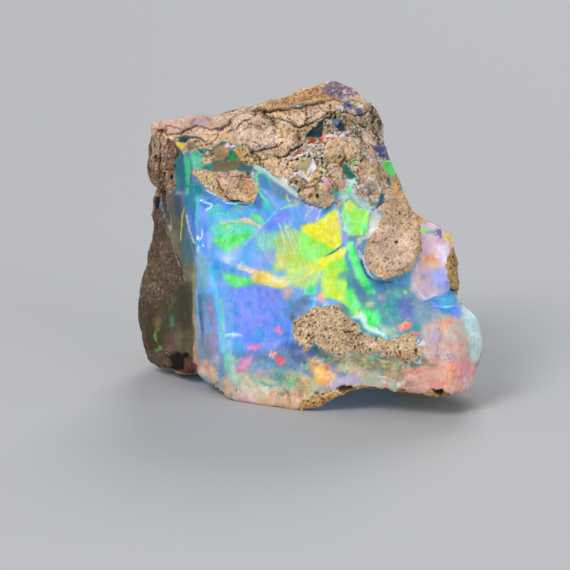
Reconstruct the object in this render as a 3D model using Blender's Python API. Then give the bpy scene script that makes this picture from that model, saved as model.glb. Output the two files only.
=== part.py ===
"""Rough Ethiopian opal: one natural stone, precious opal still welded to its rhyolite host rock.

The stone is roughed out from convex blocks of rock and opal, which are welded and covered with one
even skin. The skin is then carved with what a broken nodule has: lumps of host rock, shell-shaped
scoops, ledges, cracks, flutes and pores. Last, the underside is worn flat where the stone rests.

Lengths are millimetres: +X to the right along the opal face, +Y into the stone, +Z up. The carving
is laid out on a sheet that faces the opal face, with places given as (across, up). Every place on
the sheet is thrown onto the stone by straight rays from one layout point far in front of the face.
"""

import math
from collections import namedtuple

import bmesh
import bpy
import numpy as np
from mathutils import Vector, noise

MM = 0.001

# Driving dimensions.
SKIN_VOXEL = 0.42          # grid of the even skin laid over the joined blocks
TRIANGLE_BUDGET = 9400     # facets of the finished stone
BED_LEVEL = 0.45           # height up to which the underside is worn flat to rest on
CRUST_ROUGHNESS = 0.55     # height of the lumps of the host rock
PORE_DEPTH = 0.55          # depth of the larger pores of the host rock
OPAL_WAVINESS = 0.10       # height of the gentle waves of the broken opal
SEED = Vector((17.3, 4.1, 29.7))   # offset of every noise pattern

# The layout sheet: its middle, its rise towards the layout point, and that point's distance.
SHEET_MIDDLE = np.array((-2.89, 8.0, 11.5))
SHEET_RISE = math.radians(15.0)
SHEET_DISTANCE = 400.0
SHEET_ORIGIN = np.array((-2.89, 13.18))   # (across, up) of the middle

# Convex blocks that make up the stone, each by its corner points.
BLOCKS = {
    "face_block": [
        (-9.5, 4.8, 1.6), (-7.6, 3.2, 0.2), (-1.8, 0.2, 0.2), (1.2, -0.3, 1.7), (4.5, -1.2, 3.0),
        (-12.0, 6.6, 2.6), (-12.2, 7.0, 11.2), (-11.8, 8.4, 21.8), (-5.6, 6.4, 24.0),
        (-1.4, 3.6, 22.2), (5.1, 4.0, 21.6), (7.2, 5.5, 22.4), (9.4, 2.2, 13.2), (10.5, 1.5, 11.0),
        (9.0, -0.6, 4.0), (-11.0, 16.0, 1.0), (9.0, 15.0, 1.5), (-11.0, 16.0, 23.0), (8.0, 14.0, 23.0)],
    "right_lobe": [
        (8.5, -2.4, 3.4), (12.9, -2.7, 2.5), (16.0, 0.5, 2.4), (17.0, 2.0, 7.3), (16.7, 2.5, 9.5),
        (15.0, 3.0, 10.9), (13.1, 1.0, 11.3), (10.4, 1.2, 11.6), (7.0, 0.4, 11.5), (5.0, -0.9, 6.0),
        (5.0, -1.5, 3.4), (11.5, -2.6, 7.0), (14.5, -1.3, 7.5), (16.5, 8.0, 4.0), (15.5, 9.0, 9.0),
        (9.0, 10.0, 2.0), (13.0, 11.0, 2.5), (9.0, 10.0, 11.0)],
    "upper_right_slab": [
        (9.4, 6.0, 18.8), (11.2, 7.0, 18.7), (12.4, 6.0, 18.4), (14.0, 6.5, 17.2), (13.7, 4.8, 14.6),
        (13.4, 4.2, 11.6), (10.4, 2.4, 11.6), (9.4, 3.0, 16.0), (14.4, 10.0, 16.4), (14.8, 10.0, 11.0),
        (9.2, 12.6, 17.6), (10.0, 12.0, 10.0)],
    "crumbly_edge": [
        (13.6, 6.6, 16.6), (14.0, 6.2, 15.4), (14.4, 6.5, 13.4), (14.3, 5.8, 10.6), (13.0, 5.0, 10.4),
        (13.0, 6.0, 16.0), (14.0, 10.5, 14.5), (14.3, 10.5, 11.5), (14.4, 11.0, 8.0), (12.0, 11.5, 15.5)],
    "cap": [
        (-10.6, 8.0, 26.0), (-3.9, 4.6, 24.6), (-0.4, 3.8, 25.2), (3.6, 3.8, 25.4), (6.1, 4.4, 23.8),
        (7.1, 5.5, 22.5), (7.6, 7.8, 23.4), (6.9, 8.4, 26.1), (-8.0, 9.5, 29.2), (-4.2, 8.6, 30.1),
        (-1.4, 6.2, 30.4), (2.8, 6.2, 31.0), (5.2, 8.6, 30.5), (6.5, 9.5, 29.2), (-1.4, 14.0, 30.0),
        (2.5, 14.0, 30.4), (5.0, 14.0, 29.0), (-8.0, 16.0, 27.5), (7.2, 14.0, 23.3), (-6.0, 6.6, 22.0),
        (-1.0, 3.4, 21.4), (5.0, 3.9, 21.0)],
    "crest": [
        (-5.0, 11.0, 30.0), (-1.4, 12.5, 30.4), (1.3, 12.8, 31.2), (2.6, 12.6, 31.6), (4.2, 11.5, 31.2),
        (5.4, 10.0, 30.6), (-6.0, 17.0, 25.5), (5.0, 17.5, 26.0), (6.4, 12.0, 28.0), (-6.0, 12.0, 27.0)],
    "left_corner": [
        (-16.8, 12.0, 26.3), (-16.2, 12.0, 27.2), (-15.2, 11.0, 27.9), (-11.7, 10.0, 28.3),
        (-9.4, 10.2, 28.8), (-10.6, 8.2, 26.4), (-13.0, 9.2, 25.4), (-13.3, 9.5, 21.0),
        (-16.5, 12.4, 20.4), (-17.0, 13.0, 23.3), (-11.5, 8.6, 22.2), (-15.4, 17.0, 26.0),
        (-15.4, 18.0, 21.0), (-8.0, 17.0, 27.3), (-10.0, 18.0, 20.0)],
    "flake": [
        (-15.7, 9.5, 21.0), (-15.2, 9.4, 18.5), (-13.8, 8.5, 13.4), (-12.7, 7.4, 12.9),
        (-12.2, 7.1, 11.1), (-11.6, 8.0, 21.6), (-11.4, 6.9, 14.0), (-14.2, 11.4, 20.0),
        (-12.0, 12.0, 12.0), (-11.0, 12.0, 20.0)],
    "left_back": [
        (-15.8, 14.5, 14.0), (-17.0, 16.0, 10.9), (-17.8, 16.0, 8.9), (-17.7, 15.0, 7.6),
        (-18.1, 15.0, 5.3), (-18.0, 15.0, 4.0), (-17.6, 14.0, 2.1), (-16.3, 13.0, 1.2),
        (-13.4, 9.6, 1.6), (-12.2, 7.8, 3.2), (-12.4, 8.2, 11.0), (-13.2, 10.4, 13.0),
        (-16.3, 14.4, 20.6), (-16.4, 15.0, 17.2), (-15.2, 20.0, 3.0), (-15.2, 20.5, 10.0), (-13.5, 19.0, 20.0),
        (-8.0, 20.0, 1.0), (-8.0, 20.0, 16.0), (-8.0, 12.0, 1.0)],
    "back_mass": [
        (-10.0, 20.6, 4.5), (-9.5, 20.4, 14.0), (-4.5, 21.2, 6.0), (3.0, 20.4, 5.0), (9.0, 17.6, 5.0),
        (-3.5, 20.4, 17.0), (5.0, 18.6, 15.0), (11.4, 14.6, 6.0), (12.0, 13.4, 11.0), (5.6, 16.2, 20.0),
        (-8.0, 19.0, 21.5), (-3.0, 18.4, 25.0), (4.0, 17.4, 25.0), (-6.0, 14.0, 0.0), (4.0, 13.0, 0.0),
        (-9.0, 17.0, 0.4), (0.0, 18.0, 0.6), (9.0, 13.0, 1.0), (-4.0, 8.0, 0.0), (3.0, 8.0, 0.0)],
    "heart": [
        (-13.4, 10.6, 3.0), (-13.4, 10.6, 22.0), (-12.0, 9.6, 26.0), (6.6, 8.0, 26.0), (5.8, 10.0, 28.8),
        (-7.0, 10.8, 28.8), (-14.4, 17.0, 24.4), (-13.4, 18.6, 4.0), (5.6, 14.2, 24.0),
        (-8.0, 18.4, 26.6), (4.0, 17.2, 28.0), (13.2, 9.6, 3.4), (12.6, 9.4, 12.5),
        (9.6, 11.6, 17.0), (13.0, 12.4, 6.0), (9.6, 17.0, 10.0), (-9.4, 7.4, 24.6), (-4.5, 6.0, 24.4),
        (-9.0, 19.6, 14.0), (2.0, 19.6, 14.0), (11.6, 5.0, 15.8), (12.8, 4.8, 12.4)],
    "host_lobe": [
        (7.1, 4.8, 22.2), (7.7, 7.4, 22.8), (8.6, 7.2, 20.9), (10.6, 6.8, 18.5), (10.8, 4.2, 17.0),
        (10.4, 2.7, 15.6), (8.8, 1.6, 14.2), (7.0, 1.4, 13.8), (5.6, 1.8, 15.2), (5.4, 2.4, 17.4),
        (6.2, 3.2, 20.4), (8.6, 2.0, 17.4), (8.0, 9.0, 16.0)],
}

# Patches of host rock on the face: how far each stands proud, and its outline on the sheet.
Patch = namedtuple("Patch", "height outline")
HOST_PATCHES = {
    "cap": Patch(0.25, [
        (-17.6, 29.3), (-15.1, 31.5), (-10.0, 32.1), (-5.4, 32.9), (1.7, 35.4), (7.9, 33.8),
        (9.2, 28.9), (7.4, 27.4), (6.3, 27.9), (4.9, 27.1), (3.2, 25.9), (1.2, 25.9), (0.5, 27.1),
        (-0.4, 27.8), (-2.4, 27.0), (-3.8, 26.2), (-5.2, 26.5), (-6.9, 26.9), (-8.7, 27.6),
        (-10.1, 26.9), (-11.0, 25.2), (-11.9, 26.7), (-12.9, 27.1), (-13.2, 24.8), (-13.7, 23.0),
        (-17.8, 22.6)]),
    "upper_clast": Patch(0.40, [
        (-12.3, 24.6), (-10.9, 24.9), (-9.3, 24.6), (-7.5, 24.9), (-5.6, 23.6), (-5.8, 22.2),
        (-7.0, 21.3), (-8.9, 21.8), (-10.7, 22.8), (-11.9, 23.6)]),
    "bean_clast": Patch(0.30, [
        (0.9, 26.9), (1.5, 27.8), (3.2, 28.1), (4.7, 27.3), (4.3, 26.3), (2.7, 25.8), (1.3, 26.1)]),
    "pierced_clast": Patch(0.30, [
        (-1.2, 22.8), (-0.6, 23.8), (0.9, 23.9), (2.1, 23.0), (2.3, 21.8), (1.5, 21.0), (-0.2, 21.2),
        (-1.1, 21.8)]),
    "slim_clast": Patch(0.20, [
        (1.3, 25.5), (2.7, 25.9), (3.3, 24.6), (2.9, 23.0), (1.9, 22.8), (1.4, 24.0)]),
    "shoulder_clast": Patch(0.30, [
        (4.2, 25.2), (5.3, 26.2), (6.7, 25.7), (7.1, 24.0), (6.3, 22.8), (4.9, 22.8), (4.3, 23.8)]),
    "host_lobe": Patch(0.35, [
        (8.8, 25.0), (7.4, 22.8), (6.7, 21.3), (5.9, 19.8), (5.3, 17.2), (5.2, 15.5), (5.9, 14.2),
        (7.0, 13.6), (8.8, 14.0), (10.1, 14.9), (10.8, 16.7), (10.9, 18.8), (11.8, 19.9),
        (10.3, 23.2)]),
    "sponge_clast": Patch(0.30, [
        (-2.2, 9.8), (-1.4, 11.1), (0.5, 11.6), (2.3, 11.1), (3.7, 9.8), (5.2, 8.4), (8.0, 8.0),
        (10.3, 7.4), (11.3, 6.4), (10.8, 5.4), (8.8, 5.4), (6.2, 5.8), (3.2, 5.4), (0.9, 6.1),
        (-0.2, 6.6), (-1.6, 7.2), (-2.3, 8.4)]),
    "crumbly_edge": Patch(0.10, [
        (13.0, 16.1), (13.8, 17.1), (14.7, 17.2), (16.5, 14.7), (16.3, 11.9), (14.4, 12.1),
        (13.6, 12.9), (12.9, 14.5)]),
    "left_crust": Patch(0.10, [
        (-18.6, 21.3), (-15.8, 21.3), (-15.1, 17.7), (-14.0, 14.9), (-12.9, 12.7), (-13.3, 12.0),
        (-15.1, 11.7), (-18.6, 11.1)]),
    "foot_crust": Patch(0.00, [
        (-18.0, 7.1), (-15.1, 6.6), (-12.9, 5.4), (-12.9, 2.1), (-18.0, 2.1)]),
    "hem_crust": Patch(0.00, [
        (-8.9, 2.3), (-6.9, 3.1), (-4.4, 3.5), (-1.8, 3.8), (-0.2, 3.0), (1.3, 1.7), (-1.4, -1.0),
        (-8.5, -0.5)]),
}

# Shell-shaped scoops: middle on the sheet, half width, half height, turn in degrees, depth.
Scoop = namedtuple("Scoop", "across up half_width half_height turn depth")
SCOOPS = [
    Scoop(-6.2, 8.6, 4.2, 5.0, 12.0, 0.55),
    Scoop(-7.2, 17.6, 3.2, 2.8, 35.0, 0.50),
    Scoop(0.8, 18.4, 3.2, 3.0, -30.0, 0.45),
    Scoop(-2.9, 15.6, 2.6, 2.2, 40.0, 0.35),
    Scoop(8.2, 11.0, 3.2, 2.6, -35.0, 0.45),
    Scoop(5.0, 20.4, 1.6, 2.6, -15.0, 0.35),
    Scoop(-3.6, 24.2, 1.7, 1.2, -40.0, 0.45),
    Scoop(-9.2, 25.6, 1.8, 1.0, 20.0, 0.55),
    Scoop(12.0, 15.4, 1.8, 2.6, 10.0, 0.35),
    Scoop(14.2, 7.0, 2.4, 2.8, 0.0, 0.30),
    Scoop(-15.3, 7.8, 1.8, 3.2, 8.0, 0.60),
    Scoop(-13.8, 18.6, 1.3, 3.0, 18.0, 0.30),
    Scoop(-5.4, 3.4, 2.6, 1.1, 0.0, 0.35),
    Scoop(1.2, 4.2, 2.2, 1.0, 15.0, 0.30),
    Scoop(6.3, 3.2, 2.6, 0.9, 5.0, 0.35),
]

# Hollows broken out of the sides and back: middle, radius, depth.
Hollow = namedtuple("Hollow", "middle radius depth")
HOLLOWS = [
    Hollow((-6.0, 21.0, 9.0), 6.5, 1.3),
    Hollow((5.5, 19.0, 14.0), 5.0, 1.1),
    Hollow((-10.5, 19.0, 19.0), 4.5, 1.0),
    Hollow((13.5, 10.5, 6.5), 4.5, 1.1),
    Hollow((8.0, 13.5, 19.5), 3.6, 0.8),
    Hollow((-2.0, 18.0, 25.5), 4.0, 0.8),
    Hollow((-16.5, 17.5, 15.5), 3.6, 0.7),
    Hollow((-0.5, 9.4, 30.8), 2.4, 0.4),
    Hollow((-11.5, 13.5, 28.2), 2.8, 0.6),
    Hollow((4.5, 3.0, 1.2), 4.5, 1.2),
    Hollow((11.5, 5.0, 2.0), 3.5, 0.8),
]

# Veins of harder opal that stand out of the sides and back: height, half width, places along each.
Vein = namedtuple("Vein", "height half_width route")
VEINS = [
    Vein(0.8, 1.1, [(-14.5, 20.0, 3.0), (-8.0, 20.5, 12.5), (-1.0, 20.0, 16.5), (5.0, 17.5, 20.5)]),
    Vein(0.6, 0.9, [(-2.0, 21.0, 2.5), (5.0, 19.5, 8.0), (11.0, 14.6, 9.0), (13.4, 9.4, 10.4)]),
    Vein(0.5, 0.8, [(-15.5, 17.0, 24.0), (-8.0, 19.0, 23.5), (-2.0, 19.0, 21.0)]),
]

# Lines cut or raised on the face: height (below zero is a groove), half width, places along it.
Line = namedtuple("Line", "height half_width route")
LINES = [
    Line(-0.95, 0.55, [(-9.3, 30.5), (-7.5, 30.8), (-5.2, 30.6), (-3.2, 30.8), (-1.4, 31.3),
                       (0.9, 31.7), (2.9, 32.0), (4.3, 31.7)]),
    Line(-0.55, 0.50, [(-8.7, 27.6), (-6.9, 26.9), (-5.2, 26.5), (-3.8, 26.2), (-2.4, 27.0),
                       (-0.4, 27.8), (0.7, 28.2)]),
    Line(-0.60, 0.50, [(-16.6, 28.4), (-15.1, 29.1), (-13.5, 29.2), (-11.9, 28.8), (-11.0, 28.9),
                       (-10.1, 29.7), (-10.3, 30.5)]),
    Line(0.35, 0.60, [(-16.4, 29.0), (-15.0, 30.0), (-13.4, 30.2), (-11.9, 29.8), (-10.9, 30.0)]),
    Line(-0.35, 0.45, [(-13.6, 27.2), (-14.0, 25.6), (-13.9, 24.0)]),
    Line(0.30, 0.55, [(-9.3, 15.5), (-8.0, 14.7), (-6.4, 13.9), (-4.4, 13.3), (-2.4, 12.7)]),
    Line(0.28, 0.45, [(-2.2, 20.6), (-4.4, 19.0), (-6.4, 16.7), (-8.0, 14.5), (-9.0, 12.7)]),
    Line(0.45, 0.60, [(-5.6, 25.6), (-4.2, 24.6), (-2.6, 23.4), (-1.2, 22.2)]),
    Line(-0.30, 0.40, [(-1.4, 14.5), (0.5, 15.5), (2.3, 16.5), (3.7, 17.6)]),
    Line(0.22, 0.45, [(-9.8, 19.4), (-8.5, 19.9), (-7.1, 19.9), (-6.0, 19.5), (-5.2, 19.0)]),
    Line(0.35, 0.45, [(-11.2, 23.6), (-11.1, 20.8), (-10.9, 17.7), (-10.8, 14.7), (-10.7, 11.7),
                      (-10.5, 7.6), (-10.1, 4.1)]),
    Line(-0.40, 0.40, [(-12.0, 16.9), (-11.9, 12.7), (-11.6, 9.6), (-11.4, 6.6), (-11.1, 4.2)]),
    Line(-0.30, 0.35, [(-10.1, 11.7), (-9.8, 8.6), (-9.5, 5.6), (-9.1, 3.1)]),
    Line(-0.45, 0.45, [(8.4, 14.3), (9.6, 12.9), (10.6, 11.6), (12.0, 12.2), (13.4, 12.6)]),
    Line(0.25, 0.45, [(3.9, 16.7), (4.9, 13.2), (5.9, 10.4), (7.1, 8.0)]),
    Line(-0.45, 0.55, [(1.0, 29.4), (2.4, 28.9), (4.0, 29.2), (5.2, 28.2), (6.4, 28.0)]),
    Line(-0.40, 0.50, [(3.3, 31.4), (4.3, 30.2), (5.6, 29.6)]),
    Line(-0.35, 0.45, [(7.2, 25.2), (6.9, 23.0), (5.8, 21.4)]),
    Line(-0.30, 0.40, [(3.9, 26.0), (3.6, 24.2), (3.4, 22.6)]),
]


def new_object(name, fill):
    """Object at the origin whose mesh comes from a bmesh that fill() builds."""
    mesh = bpy.data.meshes.new(name)
    shape = bmesh.new()
    fill(shape)
    bmesh.ops.recalc_face_normals(shape, faces=shape.faces)
    shape.to_mesh(mesh)
    shape.free()
    piece = bpy.data.objects.new(name, mesh)
    bpy.context.scene.collection.objects.link(piece)
    return piece


def block_object(name, corners):
    """Convex block over its corner points."""
    def fill(shape):
        verts = [shape.verts.new(Vector(corner) * MM) for corner in corners]
        hull = bmesh.ops.convex_hull(shape, input=verts)
        inside = {part for part in hull["geom_interior"] if isinstance(part, bmesh.types.BMVert)}
        bmesh.ops.delete(shape, geom=list(inside), context="VERTS")
    return new_object(name, fill)


def apply_modifiers(piece):
    """Replace the mesh by what its modifiers make of it."""
    graph = bpy.context.evaluated_depsgraph_get()
    finished = bpy.data.meshes.new_from_object(piece.evaluated_get(graph))
    piece.modifiers.clear()
    old = piece.data
    piece.data = finished
    bpy.data.meshes.remove(old)


def join_block(body, block):
    """Weld one block to the body."""
    weld = body.modifiers.new("weld", "BOOLEAN")
    weld.operation = "UNION"
    weld.object = block
    apply_modifiers(body)
    bpy.data.objects.remove(block)


def rough_body():
    """All blocks welded and covered with one even skin."""
    names = list(BLOCKS)
    body = block_object("rough_opal", BLOCKS[names[0]])
    for name in names[1:]:
        join_block(body, block_object(name, BLOCKS[name]))
    skin_body(body, relax_steps=4)
    return body


def skin_body(body, relax_steps):
    """Cover the body with an even skin and relax it."""
    skin = body.modifiers.new("skin", "REMESH")
    skin.mode = "VOXEL"
    skin.voxel_size = SKIN_VOXEL * MM
    relax = body.modifiers.new("relax", "SMOOTH")
    relax.factor = 0.5
    relax.iterations = relax_steps
    apply_modifiers(body)


def read_points(mesh):
    """Points and normals of a mesh, points in millimetres."""
    points = np.empty(len(mesh.vertices) * 3, dtype=np.float32)
    mesh.vertices.foreach_get("co", points)
    normals = np.empty(len(mesh.vertices) * 3, dtype=np.float32)
    mesh.vertex_normals.foreach_get("vector", normals)
    return points.reshape(-1, 3).astype(float) / MM, normals.reshape(-1, 3).astype(float)


def write_points(mesh, points):
    """Put points given in millimetres back into a mesh."""
    mesh.vertices.foreach_set("co", (points * MM).astype(np.float32).ravel())
    mesh.update()


def sheet_axes():
    """The sheet's across and up directions and the one towards the layout point."""
    rise_cos, rise_sin = math.cos(SHEET_RISE), math.sin(SHEET_RISE)
    across = np.array((1.0, 0.0, 0.0))
    up = np.array((0.0, rise_sin, rise_cos))
    outward = np.array((0.0, -rise_cos, rise_sin))
    return across, up, outward


def on_sheet(points):
    """Places on the sheet of points of the stone, and each ray's direction back to the layout point."""
    across, up, outward = sheet_axes()
    offset = points - SHEET_MIDDLE
    spread = SHEET_DISTANCE / (SHEET_DISTANCE - offset @ outward)
    places = np.stack([offset @ across * spread, offset @ up * spread], axis=1) + SHEET_ORIGIN
    rays = SHEET_MIDDLE + outward * SHEET_DISTANCE - points
    return places, rays / np.linalg.norm(rays, axis=1, keepdims=True)


def smooth_step(low, high, values):
    """Smooth rise from 0 at low to 1 at high."""
    t = np.clip((values - low) / (high - low), 0.0, 1.0)
    return t * t * (3.0 - 2.0 * t)


def distance_to_route(places, route, closed=False):
    """Distance of places to a route of straight runs."""
    stops = np.array(route, dtype=float)
    ends = np.roll(stops, -1, axis=0) if closed else stops[1:]
    starts = stops if closed else stops[:-1]
    nearest = np.full(len(places), 1e9)
    for start, end in zip(starts, ends):
        run = end - start
        along = np.clip((places - start) @ run / (run @ run), 0.0, 1.0)
        nearest = np.minimum(nearest, np.linalg.norm(places - start - along[:, None] * run, axis=1))
    return nearest


def depth_in_outline(places, outline):
    """Distance of places to an outline, positive inside it."""
    corners = np.array(outline, dtype=float)
    inside = np.zeros(len(places), dtype=bool)
    for start, end in zip(corners, np.roll(corners, -1, axis=0)):
        if start[1] == end[1]:
            continue
        crosses = (places[:, 1] < start[1]) != (places[:, 1] < end[1])
        reach = start[0] + (places[:, 1] - start[1]) * (end[0] - start[0]) / (end[1] - start[1])
        inside ^= crosses & (places[:, 0] < reach)
    return np.where(inside, 1.0, -1.0) * distance_to_route(places, outline, closed=True)


def noise_field(points, scale, octaves):
    """Noise of about -1 to 1 at each point, with lumps about scale millimetres wide."""
    return np.array([noise.fractal(Vector(point) / scale + SEED, 0.9, 2.0, octaves) for point in points])


def pore_field(points, spacing):
    """1 in the middle of scattered pores, 0 outside them."""
    pores = np.zeros(len(points))
    for index, point in enumerate(points):
        distances, _ = noise.voronoi(Vector(point) / spacing + SEED)
        pores[index] = distances[0]
    return 1.0 - smooth_step(0.12, 0.38, pores)


def host_cover(points, normals, places, facing):
    """How much of each point is host rock: the patches in front, most of the top, back and underside."""
    front = np.zeros(len(points))
    for patch in HOST_PATCHES.values():
        front = np.maximum(front, smooth_step(-0.2, 0.2, depth_in_outline(places, patch.outline)))
    drift = noise_field(points, 6.0, 2)
    behind = smooth_step(-0.25, 0.05, drift + 0.15)
    seen = smooth_step(0.05, 0.25, facing)
    return front * seen + behind * (1.0 - seen)


def distance_to_path(points, path):
    """Distance of points to a path of straight runs through the stone."""
    stops = np.array(path, dtype=float)
    nearest = np.full(len(points), 1e9)
    for start, end in zip(stops[:-1], stops[1:]):
        run = end - start
        along = np.clip((points - start) @ run / (run @ run), 0.0, 1.0)
        nearest = np.minimum(nearest, np.linalg.norm(points - start - along[:, None] * run, axis=1))
    return nearest


def carve_sides(points):
    """Height added along each normal by the hollows and veins of the sides and back."""
    height = np.zeros(len(points))
    for hollow in HOLLOWS:
        reach = np.linalg.norm(points - np.array(hollow.middle), axis=1) / hollow.radius
        height -= hollow.depth * np.clip(1.0 - reach ** 2, 0.0, 1.0)
    for vein in VEINS:
        reach = distance_to_path(points, vein.route) / (vein.half_width * 2.0)
        height += vein.height * np.clip(1.0 - reach ** 2, 0.0, 1.0)
    return height


def carve_face(points, normals):
    """Height added along each normal by patches, scoops and lines of the face."""
    places, rays = on_sheet(points)
    facing = np.einsum("ij,ij->i", normals, rays)
    height = np.zeros(len(points))
    for patch in HOST_PATCHES.values():
        height += patch.height * smooth_step(-0.25, 0.45, depth_in_outline(places, patch.outline))
    for scoop in SCOOPS:
        turn = math.radians(scoop.turn)
        offset = places - np.array((scoop.across, scoop.up))
        along = (offset[:, 0] * math.cos(turn) + offset[:, 1] * math.sin(turn)) / scoop.half_width
        over = (offset[:, 1] * math.cos(turn) - offset[:, 0] * math.sin(turn)) / scoop.half_height
        radius = along ** 2 + over ** 2
        height -= scoop.depth * np.clip(1.0 - radius, 0.0, 1.0)
    for line in LINES:
        reach = distance_to_route(places, line.route) / line.half_width
        height += line.height * np.clip(1.0 - reach ** 2, 0.0, 1.0) ** 1.5
    seen = smooth_step(0.05, 0.35, facing)
    return height * seen, host_cover(points, normals, places, facing)


def carve(body):
    """Carve the face, then roughen the host rock and wave the opal."""
    points, normals = read_points(body.data)
    height, host = carve_face(points, normals)
    height += carve_sides(points)
    lumps = noise_field(points, 3.2, 4)
    waves = noise_field(points, 5.5, 2)
    pores = pore_field(points, 2.1)
    height += host * (CRUST_ROUGHNESS * lumps - PORE_DEPTH * pores)
    height += (1.0 - host) * OPAL_WAVINESS * waves
    write_points(body.data, points + normals * height[:, None])


def wear_bed(body):
    """Cut the underside flat at the bed level."""
    shape = bmesh.new()
    shape.from_mesh(body.data)
    cut = bmesh.ops.bisect_plane(
        shape, geom=shape.verts[:] + shape.edges[:] + shape.faces[:], dist=1e-7,
        plane_co=(0.0, 0.0, BED_LEVEL * MM), plane_no=(0.0, 0.0, -1.0), clear_outer=True)
    rim = [part for part in cut["geom_cut"] if isinstance(part, bmesh.types.BMEdge)]
    bmesh.ops.triangle_fill(shape, edges=rim, use_beauty=True, use_dissolve=False)
    bmesh.ops.triangulate(shape, faces=shape.faces)
    bmesh.ops.recalc_face_normals(shape, faces=shape.faces)
    shape.to_mesh(body.data)
    shape.free()


def thin_facets(body):
    """Thin the skin to the triangle budget, which keeps ridges and flattens even stretches."""
    count = sum(len(face.vertices) - 2 for face in body.data.polygons)
    thin = body.modifiers.new("thin", "DECIMATE")
    thin.ratio = TRIANGLE_BUDGET / count
    thin.use_collapse_triangulate = True
    apply_modifiers(body)


def set_on_bed(body):
    """Move the stone so that its bed is the ground and its box is centred on the origin."""
    points, _ = read_points(body.data)
    low, high = points.min(axis=0), points.max(axis=0)
    middle = (low + high) / 2
    write_points(body.data, points - np.array((middle[0], middle[1], low[2])))


def opal_material():
    """Blue-white precious opal body colour."""
    material = bpy.data.materials.new("precious_opal")
    material.use_nodes = True
    surface = material.node_tree.nodes["Principled BSDF"]
    surface.inputs["Base Color"].default_value = (0.36, 0.55, 0.86, 1.0)
    surface.inputs["Roughness"].default_value = 0.18
    surface.inputs["Metallic"].default_value = 0.0
    surface.inputs["IOR"].default_value = 1.45
    return material


def main():
    """Build the stone."""
    for leftover in list(bpy.data.objects):
        bpy.data.objects.remove(leftover)
    body = rough_body()
    carve(body)
    skin_body(body, relax_steps=1)
    thin_facets(body)
    wear_bed(body)
    set_on_bed(body)
    body.data.materials.append(opal_material())


main()
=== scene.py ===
"""Rough Ethiopian opal: one stone of precious opal with the rhyolite it grew in, in a small studio.

The stone is the frame's solid under a finer skin. The skin is broken up again into shell fractures,
ledges, cracks, crust and pores, then coloured by marks: blots, shards, streaks, bands and scatters
of named hues on a layout sheet that faces the opal face. Where the sheet does not reach, the same
opal and host rock carry on round the stone as spatial patterns. Loose-looking crystals of the host
rock are scattered over it by a geometry node tree.

Lengths are millimetres in the object's frame unless a name says otherwise: +X right, +Y into the
stone, +Z up.
"""
from __future__ import annotations

import logging
import math
from dataclasses import dataclass
from enum import Enum
from itertools import product
from typing import Callable, ClassVar, Protocol, Sequence

import bmesh
import bpy
import numpy as np
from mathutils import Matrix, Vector


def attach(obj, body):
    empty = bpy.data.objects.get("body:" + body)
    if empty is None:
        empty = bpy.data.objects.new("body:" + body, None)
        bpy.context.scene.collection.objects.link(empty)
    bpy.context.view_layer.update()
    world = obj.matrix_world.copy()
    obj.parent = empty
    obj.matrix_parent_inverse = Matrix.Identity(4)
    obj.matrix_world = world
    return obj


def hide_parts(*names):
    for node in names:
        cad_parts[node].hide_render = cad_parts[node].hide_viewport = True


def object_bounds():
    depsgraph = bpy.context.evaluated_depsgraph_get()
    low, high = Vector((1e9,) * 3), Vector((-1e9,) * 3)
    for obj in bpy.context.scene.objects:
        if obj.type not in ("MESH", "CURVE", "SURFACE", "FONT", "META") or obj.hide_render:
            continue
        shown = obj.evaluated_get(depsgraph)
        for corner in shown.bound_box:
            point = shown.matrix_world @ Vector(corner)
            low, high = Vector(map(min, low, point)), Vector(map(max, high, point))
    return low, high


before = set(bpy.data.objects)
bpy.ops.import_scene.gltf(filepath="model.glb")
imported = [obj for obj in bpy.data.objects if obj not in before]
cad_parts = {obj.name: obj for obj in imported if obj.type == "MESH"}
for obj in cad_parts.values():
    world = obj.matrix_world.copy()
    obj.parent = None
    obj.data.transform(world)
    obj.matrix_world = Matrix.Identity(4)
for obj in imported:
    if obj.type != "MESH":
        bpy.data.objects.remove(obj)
CAD_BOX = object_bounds()

logging.basicConfig(level=logging.INFO, format="%(name)s: %(message)s")
log = logging.getLogger("opal")

MM = 0.001
Place = tuple[float, float]
Array = np.ndarray

# The layout sheet: its middle in the stone, its lean back from upright, and how far in front of it
# the layout point lies from which its marks are thrown onto the stone.
SHEET_MIDDLE = np.array((-2.2965, -1.3035, 11.05))
SHEET_RISE = math.radians(15.0)
SHEET_DISTANCE = 400.0
SHEET_ORIGIN = np.array((-2.89, 13.18))   # (across, up) of the middle
ACROSS = np.array((1.0, 0.0, 0.0))
UP = np.array((0.0, math.sin(SHEET_RISE), math.cos(SHEET_RISE)))
OUTWARD = np.array((0.0, -math.cos(SHEET_RISE), math.sin(SHEET_RISE)))
ROUNDING = 1e-7      # in metres: what rounding may add to a vertex on the frame's box
FINEST_LINE = 0.08   # half width below which the grid of the skin would break a line into dots


def path(*numbers: float) -> tuple[Place, ...]:
    """The corners of a line or an outline, from their places across and up in turn."""
    return tuple(zip(numbers[::2], numbers[1::2]))


def smooth_step(low: float, high: float, value: Array) -> Array:
    """Eases from 0 at low to 1 at high.

    Args:
        low: Where the step starts.
        high: Where it ends.
        value: The values to step.

    Returns:
        The stepped values.
    """
    share = np.clip((value - low) / (high - low), 0.0, 1.0)
    return share * share * (3.0 - 2.0 * share)


def blend(first: Array, second: Array, share: Array) -> Array:
    """Rows of first, moved towards second by each place's share."""
    return first + (second - first) * share[:, None]


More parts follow.
